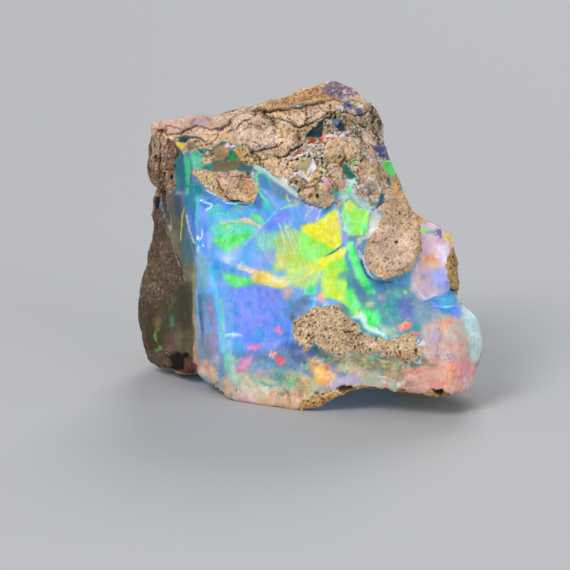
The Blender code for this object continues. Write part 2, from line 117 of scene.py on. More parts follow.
@dataclass(frozen=True)
class Tone:
    """An sRGB colour, 0 to 255, with whether it is host rock, how gritty it is and how full of veins."""

    red: int
    green: int
    blue: int
    rock: bool = False
    grit: float = 1.0
    veined: float = 0.0

    @property
    def colour(self) -> Array:
        """The colour as sRGB shares from 0 to 1."""
        return np.array((self.red, self.green, self.blue)) / 255.0

    @property
    def traits(self) -> Array:
        """Its shares of rock, grit and veins."""
        return np.array((float(self.rock), self.grit, self.veined))


def stony(red: int, green: int, blue: int, grit: float = 1.0, veined: float = 0.0) -> Tone:
    """A colour of host rock."""
    return Tone(red, green, blue, True, grit, veined)


class Hue(Enum):
    """Named hues of the opal's play of colour and of its host rock, and of the light and shade painted on them:
    white and glint hues are laid as painted highlights, near-black as painted shade in pits, cracks and
    hollows.
    """

    STEEL = Tone(105, 140, 175)
    SKY = Tone(108, 172, 242)
    PERIWINKLE = Tone(115, 150, 246)
    IRIS = Tone(130, 142, 245)
    VIOLET = Tone(148, 135, 235)
    TEAL = Tone(75, 150, 160)
    CYAN = Tone(100, 205, 246)
    AZURE = Tone(85, 165, 236)
    LILAC = Tone(185, 175, 230)
    PALE_SKY = Tone(165, 205, 240)
    MINT = Tone(110, 232, 195)
    # painted highlight: a white glint of light on a fracture edge
    GLINT = Tone(215, 252, 252)
    TURQUOISE = Tone(85, 200, 205)
    INDIGO = Tone(85, 105, 200)
    BLUE = Tone(62, 125, 215)
    PINK = Tone(235, 140, 195)
    SALMON_PINK = Tone(248, 180, 175)
    MAUVE = Tone(165, 135, 185)
    ROSE = Tone(215, 120, 150)
    GREEN = Tone(105, 238, 125)
    LIME = Tone(190, 238, 85)
    LILAC_GREY = Tone(158, 165, 212)
    HONEY = Tone(240, 213, 112)
    YELLOW = Tone(235, 233, 75)
    ORANGE = Tone(246, 172, 100)
    PEACH = Tone(238, 192, 155)
    MAUVE_PALE = Tone(190, 175, 215)
    SEAFOAM = Tone(130, 208, 190)
    PALE_GREEN = Tone(175, 222, 155)
    SALMON = Tone(238, 170, 135)
    YELLOW_AMBER = Tone(240, 215, 90)
    CREAM = Tone(225, 228, 180)
    CORAL = Tone(236, 128, 118)
    # painted highlight: a bluish glint
    GLINT_BLUE = Tone(205, 222, 250)
    LIME_GREEN = Tone(150, 236, 98)
    SPRING = Tone(75, 238, 145)
    SEA_GREEN = Tone(60, 185, 130)
    # a near-black teal line
    BLACK_TEAL = Tone(30, 50, 55)
    DEEP_BLUE = Tone(55, 115, 175)
    NAVY = Tone(45, 72, 125)
    IRIS_PALE = Tone(140, 170, 238)
    STEEL_BLUE = Tone(95, 150, 200)
    PEACH_PALE = Tone(238, 205, 188)
    YELLOW_GREEN = Tone(205, 230, 120)
    SAGE = Tone(140, 185, 150)
    SLATE = Tone(85, 110, 140)
    PLUM = Tone(115, 60, 90)
    DARK_SAGE = Tone(75, 100, 85)
    CORAL_SOFT = Tone(242, 150, 128)
    SEAFOAM_DARK = Tone(92, 168, 165)
    SLATE_BLUE = Tone(95, 125, 165)
    SEA_TEAL = Tone(38, 180, 150)
    TEAL_BLUE = Tone(60, 130, 165)
    LIME_SOFT = Tone(185, 215, 115)
    INDIGO_SOFT = Tone(98, 118, 180)
    VIOLET_GREY = Tone(130, 128, 188)
    SPRING_GREEN = Tone(88, 242, 122)
    SAGE_LIGHT = Tone(165, 195, 165)
    CORAL_HOT = Tone(248, 120, 98)
    MINT_MILK = Tone(180, 205, 198)
    PURPLE_GREY = Tone(128, 115, 162)
    PEACH_MILK = Tone(226, 190, 172)
    # painted highlight: white glints on the left ridge, the flake and the lower edge
    WHITE = Tone(248, 250, 254)
    CREAM_YELLOW = Tone(226, 208, 152)
    PURPLE_SOFT = Tone(150, 142, 195)
    PINK_GREY = Tone(210, 178, 182)
    PINK_LILAC = Tone(220, 190, 205)
    PEACH_GREY = Tone(200, 176, 166)
    STEEL_SOFT = Tone(130, 158, 180)
    PALE_TEAL = Tone(115, 172, 178)
    AZURE_DEEP = Tone(72, 142, 226)
    CYAN_DEEP = Tone(75, 185, 228)
    MILK_MINT = Tone(196, 218, 218)
    # pale cyan, also laid as painted highlight: the halo of a glint, a highlight down the left ridge and glints
    # on the right lobe's rim
    PALE_CYAN = Tone(160, 215, 228)
    DUSK = Tone(125, 120, 148)
    SLATE_LILAC = Tone(135, 128, 168)
    ORCHID = Tone(205, 125, 178)
    ROSE_PINK = Tone(232, 130, 164)
    PEACH_TAN = Tone(218, 178, 145)
    DUSK_ROSE = Tone(170, 125, 135)
    BEIGE_GREEN = Tone(188, 190, 160)
    MINT_GREEN = Tone(100, 230, 160)
    STEEL_SKY = Tone(120, 165, 205)
    TEAL_SOFT = Tone(115, 160, 165)
    OLIVE_DARK = Tone(100, 100, 72)
    OCHRE_OPAL = Tone(188, 155, 95)
    STEEL_DARK = Tone(75, 98, 140)
    TEAL_DARK = Tone(60, 105, 105)
    DEEP_TEAL = Tone(45, 92, 100)
    ORANGE_YELLOW = Tone(252, 188, 112)
    RED_PINK = Tone(238, 100, 105)
    PINK_SOFT = Tone(228, 155, 165)
    BEIGE_LIME = Tone(202, 202, 145)
    ORANGE_HOT = Tone(250, 150, 70)
    WHITE_LILAC = Tone(228, 220, 238)
    RUST_SOFT = Tone(190, 115, 85)
    SMOKE = Tone(91, 90, 80)
    STEEL_TEAL = Tone(73, 103, 116)
    KHAKI = Tone(114, 110, 86)
    NAVY_SMOKE = Tone(60, 72, 92)
    KHAKI_YELLOW = Tone(192, 186, 105)
    BEIGE = Tone(150, 136, 112)
    DEEP_TEAL_BLUE = Tone(42, 105, 125)
    MID_BLUE = Tone(58, 112, 190)
    SEA_TEAL2 = Tone(42, 130, 145)
    CYAN_TEAL = Tone(95, 188, 202)
    SKY_DEEP = Tone(75, 155, 225)
    CYAN_STEEL = Tone(118, 172, 192)
    # painted highlight: thin aqua-white glint lines on the left ridge
    HIGHLIGHT_AQUA = Tone(190, 238, 240)
    OLIVE_BROWN = Tone(61, 52, 31)
    OLIVE_SMOKE = Tone(68, 57, 33)
    CHARCOAL = Tone(49, 49, 34)
    OLIVE_GREEN = Tone(81, 77, 37)
    MAUVE_DARK = Tone(80, 56, 38)
    LEAF_DARK = Tone(61, 89, 27)
    GREEN_BOTTLE = Tone(35, 85, 60)
    RUST_BROWN = Tone(92, 57, 23)
    LEAF = Tone(76, 150, 52)
    RUST_ROSE = Tone(108, 62, 40)
    BEIGE_WARM = Tone(168, 142, 120)
    SALMON_DULL = Tone(196, 138, 112)
    PURPLE_DUSK = Tone(85, 82, 130)
    GREY_SLATE = Tone(130, 136, 142)
    MAUVE_GREY = Tone(178, 152, 156)
    OLIVE_MILK = Tone(172, 165, 118)
    RED = Tone(205, 62, 62)
    LEAF_BRIGHT = Tone(118, 190, 72)
    MINT_PALE = Tone(165, 230, 195)
    FROST_WARM = Tone(222, 222, 216)
    BLUE_CYAN = Tone(72, 140, 190)
    WHITE_MINT = Tone(215, 242, 232)
    OLIVE_LENS = Tone(112, 98, 64)
    AMBER_GLASS = Tone(165, 140, 95)
    EMERALD_BRIGHT = Tone(30, 150, 70)
    GOLD_BRIGHT = Tone(235, 214, 45)
    MINT_SEA = Tone(95, 196, 162)
    DARK_TEAL2 = Tone(42, 110, 115)
    # painted highlight: a lilac glint on the crest
    LILAC_GLINT = Tone(208, 200, 226)
    GREEN_GEM = Tone(88, 222, 95)
    EMERALD_TINT = Tone(55, 205, 130)
    MOSS_GREY = Tone(138, 134, 104)
    LOBE_SALMON = Tone(222, 162, 148)
    EDGE_GREY = Tone(176, 166, 150)
    BROWN_GLASS = Tone(120, 98, 78)

    BROWN = stony(94, 79, 64)
    UMBER = stony(68, 53, 41)
    MAUVE_TAN = stony(113, 96, 84)
    OCHRE_DARK = stony(118, 90, 51)
    RUST = stony(145, 88, 66)
    GREY_BROWN = stony(73, 61, 49)
    # painted shade: near black in pits, cracks and hollows
    HOLLOW_SHADE = stony(14, 11, 8, 0.3)
    RUST_DARK = stony(104, 60, 45)
    TAN = stony(206, 174, 140, 0.75)
    PINK_TAN = stony(212, 182, 160, 0.6, 0.15)
    LILAC_ROCK = stony(196, 170, 180, 0.4)
    UMBER_RED = stony(98, 52, 38, 0.4)
    PLUM_BROWN = stony(86, 66, 74)
    BLOCK_BROWN = stony(132, 104, 84)
    CREAM_ROCK = stony(234, 208, 170, 0.7)
    TAN_PINK = stony(190, 160, 140, 0.6)
    UMBER_DARK = stony(74, 48, 30, 0.5)
    # a near-black teal line on the rock
    BLACK_TEAL_ROCK = stony(30, 44, 48)
    GREY_LILAC_ROCK = stony(165, 148, 140, 0.5)
    PINK_CLAST_LIGHT = stony(224, 192, 172, 0.4)
    YELLOW_TAN = stony(204, 170, 126, 1, 0.35)
    # pale rock: white frost, veins and specks, and in places a painted highlight
    GLINT_ROCK = stony(208, 210, 204, 0.1)
    CREST_TAN = stony(184, 142, 102)
    OCHRE = stony(200, 155, 100)
    GREY_OCHRE = stony(160, 142, 112, 1, 0.3)
    OLIVE_UMBER = stony(110, 92, 66)
    PALE_STONE = stony(212, 202, 192)
    TAN_WARM = stony(220, 186, 150, 1, 0.3)
    TAN_GREY = stony(180, 158, 140)
    PINK_BROWN = stony(196, 148, 128)
    TAN_GREEN = stony(196, 172, 122, 1, 0.5)
    OLIVE_TAN = stony(168, 144, 96, 1, 0.5)
    SAGE_DARK = stony(120, 150, 112)
    GOLD_ROCK = stony(190, 152, 98, 1.5)
    TAN_GOLD = stony(202, 174, 138, 1.5)
    GREY_OLIVE = stony(120, 106, 88)
    POTCH = stony(128, 108, 116, 0.3, 0.5)
    POTCH_VIOLET = stony(84, 62, 145, 0.3)
    VEIN_INDIGO = stony(88, 92, 150, 0.2)
    VEIN_VIOLET = stony(118, 122, 190, 0.2)
    TEAL_DEEP_VEIN = stony(32, 58, 68, 0.1)
    BLUE_GREY_VEIN = stony(105, 130, 172, 0.2)
    MIDNIGHT = stony(18, 24, 34, 0.2)
    MIDNIGHT_TEAL = stony(20, 42, 60, 0.1)
    TEAL_VEIN = stony(28, 90, 112, 0.1)
    RUST_RED = stony(165, 82, 62, 0.3)
    GREEN_BOTTLE2 = stony(38, 112, 90, 0.1)
    SLATE_LENS = stony(120, 122, 150, 0.2)
    NAVY_TEAL = stony(45, 78, 105, 0.2)
    BAND_TAN = stony(166, 143, 110, 1, 1)
    RIDGE_PINK = stony(202, 166, 150, 0.4)


class Mark(Protocol):
    """Anything that can be laid on the layout sheet."""

    hue: Hue
    fray: float    # how much of the fraying its edges take

    def reach(self) -> tuple[float, float, float, float]:
        """Lowest and highest across, lowest and highest up that the mark may touch."""

    def cover(self, across: Array, up: Array) -> Array:
        """Share of the mark's hue at each place, from 0 to 1."""


def route_distance(across: Array, up: Array, route: Sequence[Place]) -> tuple[Array, Array]:
    """Distance to a line of straight legs.

    Args:
        across: Places along the sheet.
        up: Places up the sheet.
        route: The corners of the line.

    Returns:
        The distance to the line, and how far along it the nearest point lies, from 0 to 1.
    """
    lengths = [math.dist(a, b) for a, b in zip(route, route[1:])]
    whole = max(sum(lengths), 1e-6)
    nearest = np.full(across.shape, 1e9)
    along = np.zeros(across.shape)
    done = 0.0
    for (ax, ay), (bx, by), length in zip(route, route[1:], lengths):
        leg_x, leg_y = bx - ax, by - ay
        share = ((across - ax) * leg_x + (up - ay) * leg_y) / max(length * length, 1e-9)
        share = np.clip(share, 0.0, 1.0)
        gap = np.hypot(across - ax - share * leg_x, up - ay - share * leg_y)
        closer = gap < nearest
        nearest = np.where(closer, gap, nearest)
        along = np.where(closer, (done + share * length) / whole, along)
        done += length
    return nearest, along


def inside_outline(across: Array, up: Array, outline: Sequence[Place]) -> Array:
    """True for the places inside a closed outline.

    Args:
        across: Places along the sheet.
        up: Places up the sheet.
        outline: The corners of the outline.

    Returns:
        One truth value per place.
    """
    within = np.zeros(across.shape, bool)
    for (ax, ay), (bx, by) in zip(outline, [*outline[1:], outline[0]]):
        if ay != by:
            crossing = (up < ay) != (up < by)
            within ^= crossing & (across < ax + (up - ay) * (bx - ax) / (by - ay))
    return within


def bounding(points: Sequence[Place], margin: float) -> tuple[float, float, float, float]:
    """The box round some points, widened by a margin."""
    xs, ys = zip(*points)
    return min(xs) - margin, max(xs) + margin, min(ys) - margin, max(ys) + margin


@dataclass(frozen=True)
class Blot:
    """A soft ellipse of one hue."""

    hue: Hue
    across: float
    up: float
    half_width: float
    half_height: float
    turn: float = 0.0
    soft: float = 0.9
    strength: float = 0.9
    fray: ClassVar[float] = 1.0
    spill: ClassVar[float] = 0.25   # how far its soft edge goes past the ellipse

    def reach(self) -> tuple[float, float, float, float]:
        """The box round the ellipse, however it is turned."""
        return bounding([(self.across, self.up)], 1.3 * max(self.half_width, self.half_height))

    def cover(self, across: Array, up: Array) -> Array:
        """Full in the middle and fading over the soft share of the radius."""
        turn = math.radians(self.turn)
        east, north = across - self.across, up - self.up
        along = (east * math.cos(turn) + north * math.sin(turn)) / self.half_width
        over = (north * math.cos(turn) - east * math.sin(turn)) / self.half_height
        radius = np.hypot(along, over)
        return self.strength * (1.0 - smooth_step(1.0 - self.soft, 1.0 + self.spill * self.soft, radius))


@dataclass(frozen=True)
class Shard:
    """A patch of one hue with straight sides."""

    hue: Hue
    outline: tuple[Place, ...]
    strength: float = 1.0
    edge: float = 0.81
    fray: ClassVar[float] = 0.55

    def reach(self) -> tuple[float, float, float, float]:
        """The box round the outline and its soft edge."""
        return bounding(self.outline, self.edge)

    def cover(self, across: Array, up: Array) -> Array:
        """Full inside the outline, fading across its edge."""
        gap, _ = route_distance(across, up, (*self.outline, self.outline[0]))
        gap = np.where(inside_outline(across, up, self.outline), gap, -gap)
        return self.strength * smooth_step(-0.5 * self.edge, 0.5 * self.edge, gap)


@dataclass(frozen=True)
class Streak:
    """A line of one hue that tapers to both ends."""

    hue: Hue
    half_width: float
    route: tuple[Place, ...]
    strength: float = 0.9
    soft: float = 0.8
    fray: ClassVar[float] = 0.35
    spill: ClassVar[float] = 0.15   # how far its soft sides go past the half width

    def reach(self) -> tuple[float, float, float, float]:
        """The box round the line."""
        return bounding(self.route, 1.2 * self.half_width)

    def breadth(self, along: Array) -> Array:
        """Half width at each share of the way along, tapering to the ends."""
        return self.half_width * np.sqrt(np.clip(4.0 * along * (1.0 - along), 0.05, 1.0))

    def cover(self, across: Array, up: Array) -> Array:
        """Full on the line, fading towards its sides."""
        gap, along = route_distance(across, up, self.route)
        half = np.maximum(self.breadth(along), FINEST_LINE)
        return self.strength * (1.0 - smooth_step(0.0, 1.0, (gap - half * (1.0 - self.soft))
                                                  / (half * (1.0 + self.spill) * self.soft)))


@dataclass(frozen=True)
class Band(Streak):
    """A line of one hue with the same width throughout."""

    def breadth(self, along: Array) -> Array:
        """The same half width throughout."""
        return np.full(along.shape, self.half_width)


@dataclass(frozen=True)
class Scatter:
    """Many small blots of a few hues, strewn over an ellipse."""

    across: float
    up: float
    half_width: float
    half_height: float
    turn: float
    count: int
    least: float     # half width of the smallest blot
    most: float      # half width of the largest
    flat: float      # half height of a blot, as a share of its half width
    lean: float      # degrees that the blots are turned by
    strength: float
    hues: tuple[Hue, ...]

    def blots(self) -> list[Blot]:
        """The blots, always the same ones for the same settings."""
        draw = np.random.default_rng(self.count)
        turn = math.radians(self.turn)
        strewn = []
        for _ in range(self.count):
            away, bearing = math.sqrt(draw.random()), draw.uniform(0.0, 2.0 * math.pi)
            east = self.half_width * away * math.cos(bearing)
            north = self.half_height * away * math.sin(bearing)
            size = self.least + (self.most - self.least) * draw.random() ** 2
            strewn.append(Blot(self.hues[draw.integers(len(self.hues))],
                               self.across + east * math.cos(turn) - north * math.sin(turn),
                               self.up + east * math.sin(turn) + north * math.cos(turn),
                               size, size * self.flat, self.lean + draw.uniform(-30.0, 30.0), 0.8,
                               self.strength * draw.uniform(0.5, 1.0)))
        return strewn


Marks = tuple[Mark | Scatter, ...]

# Broad colours that lie under everything else on the sheet.
OPAL_GROUND: Marks = (
    Shard(Hue.STEEL, path(-21.6, 36, 20.9, 36, 20.9, -1.5, -21.6, -1.5)),
    Shard(Hue.SKY, path(-12.9, 22.2, -7.5, 22.2, 3.2, 21.3, 3.2, 11.7, -2.4, 7.1, -10, 6.6, -12.9, 8.6), 0.9),
    Shard(Hue.TEAL, path(2.7, 15.5, 11.6, 15.5, 12, 8.6, 5.9, 7.1, 3.2, 9.8), 0.9),
    Shard(Hue.TEAL_DARK, path(-13.9, 28.3, -6.4, 28.1, -5.2, 26.7, -5.6, 25.2, -6.4, 24.6, -13.9, 24)),
    Shard(Hue.SEAFOAM_DARK, path(-12.9, 26.7, -10.9, 26.9, -10.1, 24.8, -12.5, 24.2), 0.8),
)

# The left half of the opal face, low down.
LOWER_FIELD: Marks = (
    Shard(Hue.PERIWINKLE, path(-9.4, 15.1, -6.4, 13.6, -3, 13.1, -2.2, 9.8, -2.2, 7.1, -5.2, 6.4, -7.9, 6.4,
        -9.3, 8.1, -10.1, 11.7), 0.95),
    Shard(Hue.SKY, path(-10.9, 15.5, -9.2, 15.3, -8.4, 12.7, -7.9, 6.4, -9.1, 6, -10.1, 9.1, -10.9, 12.7), 0.8),
    Band(Hue.CYAN, 0.46, path(-10.9, 17.7, -10.6, 15.2, -10, 12.5, -9.2, 6.6), 0.85, 1),
    Blot(Hue.IRIS, -4.4, 12.1, 1.32, 1.12, -20, 0.9, 0.7),
    Blot(Hue.IRIS, -5.2, 9.4, 1.62, 0.91, 20, 0.9, 0.45),
    Blot(Hue.AZURE, -5.3, 8.2, 0.81, 0.51, 0, 0.9, 0.8),
    Streak(Hue.GLINT, 0.2, path(-9.1, 8.1, -8.3, 8.2, -7.3, 8.1), 1, 1),
    Blot(Hue.VIOLET, -5.9, 6.3, 0.71, 0.46, 0, 0.9, 0.7),
    Blot(Hue.INDIGO, -2.8, 7, 0.81, 0.61, -10, 1, 0.75),
    Blot(Hue.BLUE, -2.6, 8.2, 0.41, 1.01, 0, 1, 0.6),
    Blot(Hue.PINK, -6, 6.8, 0.78, 0.35, -2, 0.3, 0.95),
    Blot(Hue.PINK, -3.5, 8.6, 0.48, 0.34, -44, 0.4),
    Blot(Hue.SALMON_PINK, -4, 6.1, 0.57, 0.28, 75, 0.4, 0.95),
    Blot(Hue.PINK, -3.3, 5.4, 0.58, 0.39, -6, 0.4, 0.95),
    Blot(Hue.RED_PINK, -3.4, 5.6, 0.75, 0.44, -49, 0.3),
    Shard(Hue.GREEN, path(-9.3, 14.6, -6.2, 13.6, -6.1, 13.3, -6.8, 13.2, -7.4, 12.9, -7.9, 12.9,
        -9.1, 13.8), 0.95, 0.68),
    Shard(Hue.HONEY, path(-6.3, 13.7, -6.3, 14.1, -5.9, 14.5, -5.1, 14.7, -4.3, 14.4, -3.5, 13.7, -2.9, 14.1,
        -2.5, 13.7, -2.6, 13.2, -3.1, 12.9, -5.9, 13.4)),
    Streak(Hue.YELLOW, 0.17, path(-5.2, 13.4, -4.4, 13.2, -3.5, 13, -2.8, 13.1), 0.9, 0.9),
    Streak(Hue.PEACH, 0.2, path(-7.7, 14.9, -6.8, 14.7, -6, 14.3), 0.95, 0.6),
    Band(Hue.PEACH, 0.22, path(-9.3, 15.7, -7.9, 15.3, -5.4, 14.4), 0.95, 0.7),
    Shard(Hue.GREEN, path(-9.1, 14.5, -7.9, 14.2, -6.4, 13.6, -6.4, 13.1, -7.5, 13, -8.5, 13.3), 0.8, 0.65),
    Scatter(-6.2, 9, 4.3, 3.9, 10, 80, 0.15, 0.61, 0.6, 15, 0.26,
            (Hue.AZURE, Hue.LILAC, Hue.INDIGO, Hue.IRIS, Hue.SKY)),
    Scatter(-5.2, 6.4, 4.7, 1.5, 0, 70, 0.1, 0.37, 0.5, 12, 0.4,
            (Hue.PINK, Hue.MAUVE, Hue.TEAL, Hue.SKY, Hue.CORAL_SOFT)),
)

# The left half of the face, at middle height.
MIDDLE_FIELD: Marks = (
    Blot(Hue.PALE_GREEN, -3, 15.9, 1.62, 2.03, 0, 1, 0.75),
    Shard(Hue.SKY, path(-11, 17.2, -8.3, 17.5, -5.2, 18.6, -4.6, 15.5, -6.4, 14.9, -10.5, 15.5), 0.8),
    Blot(Hue.PALE_SKY, -8.7, 16.1, 1.42, 0.81, 20, 1, 0.6),
    Blot(Hue.LILAC_GREY, -4.6, 16.2, 1.22, 0.81, 15, 1, 0.85),
    Shard(Hue.SEAFOAM, path(-6, 18.2, -5, 18.8, -3.8, 18.4, -3.4, 17.1, -4.6, 16.7, -5.8, 16.7), 0.9),
    Shard(Hue.PALE_GREEN, path(-4.2, 17.9, -3.1, 18.2, -2.2, 17.1, -2.4, 16.5, -3.6, 16.7), 0.85, 0.71),
    Blot(Hue.PALE_GREEN, -3.9, 14.9, 0.74, 0.45, -74, 0.7, 0.8),
    Shard(Hue.HONEY, path(-3.7, 16.3, -2.7, 16.6, -2, 16.3, -2.1, 15.4, -2.6, 14.7, -3.5, 14.7,
        -3.8, 15.5), 0.95),
    Shard(Hue.LIME, path(-2.3, 18.6, -1.5, 18.6, -0.9, 15.9, -1.4, 14.5, -2.2, 14.1, -2.5, 14.9,
        -2, 16.1), 0.95),
    Blot(Hue.PALE_GREEN, -2.7, 19.1, 0.51, 0.41, -30),
    Blot(Hue.LIME_SOFT, -2.6, 16.5, 1.22, 2.23, 14, 1, 0.55),
    Blot(Hue.PALE_GREEN, -4, 17.3, 1.01, 0.91, 20, 1, 0.4),
    Streak(Hue.GLINT_BLUE, 0.08, path(-2.5, 19.6, -2, 18.2, -1.7, 16.7), 0.8, 0.7),
    Scatter(-2.8, 16.9, 2, 2.6, 30, 50, 0.09, 0.3, 0.3, 60, 0.45,
            (Hue.PEACH, Hue.YELLOW_GREEN, Hue.PALE_GREEN, Hue.CORAL_SOFT, Hue.SEAFOAM)),
)

# The left half of the face, high up.
UPPER_MIDDLE: Marks = (
    Shard(Hue.BLUE, path(-10.9, 22.3, -8.7, 21.9, -7.9, 21.3, -8.3, 20.6, -10.3, 20.6, -11.1, 21.3), 0.85),
    Shard(Hue.TURQUOISE, path(-11, 21.2, -9.3, 21.4, -9.1, 20.4, -10.3, 19.6, -10.9, 20), 0.85),
    Shard(Hue.CYAN, path(-10, 20.1, -7.5, 20.3, -7.5, 19.8, -9.9, 19.5), 0.9, 0.46),
    Shard(Hue.MINT, path(-10.4, 19.2, -9.1, 19.6, -7.5, 19.7, -5.6, 19, -6.2, 18.2, -8.7, 17.7,
        -10.1, 17.9), 0.95),
    Blot(Hue.LIME_GREEN, -8.8, 19, 0.71, 0.51, 0, 0.9, 0.55),
    Shard(Hue.GREEN, path(-10.1, 17.9, -7.4, 18.6, -6.2, 18.3, -7.9, 16.7, -8.7, 16.5, -9.5, 16.9,
        -10, 17.4), 0.95),
    Streak(Hue.LILAC, 0.24, path(-8.4, 16.4, -7.3, 17.2), 0.8),
    Blot(Hue.GREEN, -5.8, 20, 0.83, 0.41, -27, 0.5, 0.95),
    Blot(Hue.MINT, -5.4, 19.4, 0.65, 0.37, -2, 0.7),
    Blot(Hue.SEA_GREEN, -7.5, 21.2, 0.61, 0.24, -10, 0.8, 0.85),
    Streak(Hue.BLACK_TEAL, 0.14, path(-8, 21.5, -7.1, 21.4, -6.4, 21.2)),
    Shard(Hue.DEEP_BLUE, path(-6.4, 22.2, -6, 22.6, -5.5, 22.5, -5.1, 21.8, -5, 21.1, -5.5, 20.8,
        -6.2, 21.3), 0.95, 0.69),
    Blot(Hue.TURQUOISE, -4.6, 21.4, 0.63, 0.58, -40, 0.4),
    Shard(Hue.AZURE, path(-5.2, 23.2, -3.8, 22.2, -3.3, 21.4, -3.8, 21, -4.6, 21.8), 0.8, 0.5),
    Band(Hue.IRIS_PALE, 0.2, path(-5.3, 23, -4.7, 22.4, -3.5, 20.9), 0.9, 0.9),
    Shard(Hue.IRIS, path(-5.2, 19, -3.5, 20.4, -2.6, 20.7, -2.2, 20.2, -3, 19.8, -4.6, 18.6), 0.9, 0.59),
    Band(Hue.PALE_SKY, 0.08, path(-7.5, 16.5, -6.6, 17.7, -4.6, 19.8, -3.7, 20.8), 0.8),
    Band(Hue.STEEL_BLUE, 0.09, path(-2.7, 19.7, -2.2, 18.9, -1.7, 17.7, -1.3, 16.5, -0.9, 15.7), 0.85),
    Streak(Hue.PEACH_PALE, 0.23, path(-7.5, 19.9, -6.7, 19.8, -5.3, 19), 1, 0.6),
    Blot(Hue.TURQUOISE, -9.1, 20.6, 1.62, 0.81, -5, 1, 0.55),
    Streak(Hue.HONEY, 0.13, path(-9.4, 19.5, -8.2, 19.7, -7.4, 19.7, -6.2, 19.4, -5.3, 19), 0.95, 0.7),
    Scatter(-8.7, 20.4, 3.4, 2, -12, 110, 0.12, 0.47, 0.45, 25, 0.42,
            (Hue.TURQUOISE, Hue.AZURE, Hue.GREEN, Hue.CYAN, Hue.GLINT_BLUE, Hue.MINT, Hue.SKY, Hue.BLUE)),
    Scatter(-2.6, 21.8, 3.4, 1.8, 20, 80, 0.12, 0.45, 0.4, 40, 0.38,
            (Hue.BLUE, Hue.CYAN, Hue.IRIS, Hue.VIOLET, Hue.TURQUOISE, Hue.AZURE)),
)

# The yellow and green facets right of the middle.
YELLOW_FACETS: Marks = (
    Shard(Hue.LIME_GREEN, path(-1.3, 18.8, 3, 16.7, 2.3, 16.1, 0.9, 15.6, -0.6, 15.3, -1.2, 15.5,
        -1.6, 16.9), 1, 0.34),
    Shard(Hue.YELLOW, path(-1.3, 19.1, 0.9, 20, 2.2, 20.9, 2.6, 20.6, 2.8, 17.1, 2.4, 16.7,
        -1.1, 18.5), 1, 0.37),
    Streak(Hue.PEACH_PALE, 0.16, path(2.5, 20.7, 2.7, 18.8)),
    Shard(Hue.YELLOW, path(-1.1, 15.1, 2.1, 16.4, 3.3, 17.1, 3.2, 16.3, 0.7, 14.5, -0.4, 14.3), 1, 0.32),
    Streak(Hue.SLATE, 0.15, path(1.1, 16, 2.3, 16.7, 3, 17.3), 0.95, 0.7),
    Blot(Hue.LILAC_GREY, 3.1, 18, 0.71, 0.4, -87, 0.5, 0.85),
    Shard(Hue.LIME, path(0.9, 14.9, 3.2, 16.3, 3.3, 12.7, 3.5, 11.7, 4.1, 10.4, 2.7, 11.6, 0.8, 12.1), 1, 0.35),
    Shard(Hue.LIME_GREEN, path(1.7, 15.5, 3.2, 16, 3.4, 13.2, 2.3, 12.7, 1.3, 13.4), 0.9, 0.41),
    Blot(Hue.SPRING, 3.3, 14.9, 0.51, 1.01, 20, 1, 0.6),
    Shard(Hue.SPRING, path(-0.5, 13.6, 0.3, 13.7, 0.3, 12.3, -1, 12.2, -1, 12.5, -0.6, 12.9), 1, 0.09),
    Blot(Hue.EMERALD_TINT, -0.3, 13, 0.81, 0.55, 58, 0.3),
    Blot(Hue.PEACH, -2.6, 12.6, 0.81, 0.81, 0, 1, 0.8),
    Blot(Hue.CORAL_SOFT, -2.7, 11.9, 0.61, 0.34, -5, 0.9, 0.85),
    Blot(Hue.CORAL_SOFT, 0.8, 11.9, 0.66, 0.49, -40, 0.5, 0.8),
    Blot(Hue.SLATE_BLUE, -1.6, 10.8, 1.52, 1.32, 0, 1, 0.85),
    Blot(Hue.SLATE, -0.9, 11.6, 0.91, 0.71, 15, 1, 0.85),
    Blot(Hue.DARK_SAGE, -2.2, 9.9, 0.41, 0.51, 0, 0.9, 0.85),
    Blot(Hue.STEEL_BLUE, -3, 10.4, 0.61, 0.81, 0, 1, 0.6),
    Shard(Hue.LIME, path(0.7, 14.1, 2.1, 14.9, 3.3, 14.7, 3.4, 12.9, 4.4, 10.4, 2.3, 11.7, 1.1, 12), 0.95, 0.2),
    Blot(Hue.YELLOW, 2.5, 12.1, 1.01, 0.61, -25, 1, 0.7),
    Blot(Hue.YELLOW, 1.5, 13.3, 0.61, 0.91, 0, 1, 0.6),
    Band(Hue.SPRING, 0.34, path(3.8, 17.4, 4.2, 16, 4.8, 14.6, 6.1, 12.4)),
    Streak(Hue.PINK_LILAC, 0.09, path(3, 20.6, 2.8, 19.3, 2.8, 17.9), 0.9, 0.7),
    Shard(Hue.YELLOW_GREEN, path(-3, 15.3, -1.4, 15.9, 0.5, 15.5, 0.9, 14.7, 0.5, 13.3, -1, 12.7,
        -2.6, 13.3), 0.8, 0.71),
    Shard(Hue.LIME_SOFT, path(-3.8, 18.6, -1.8, 19, -1.2, 15.9, -1.8, 14.5, -3.4, 15.5), 0.5, 0.51),
    Streak(Hue.YELLOW, 0.15, path(-1.8, 13.1, -0.8, 14.1, 0.5, 14.9), 0.8),
)

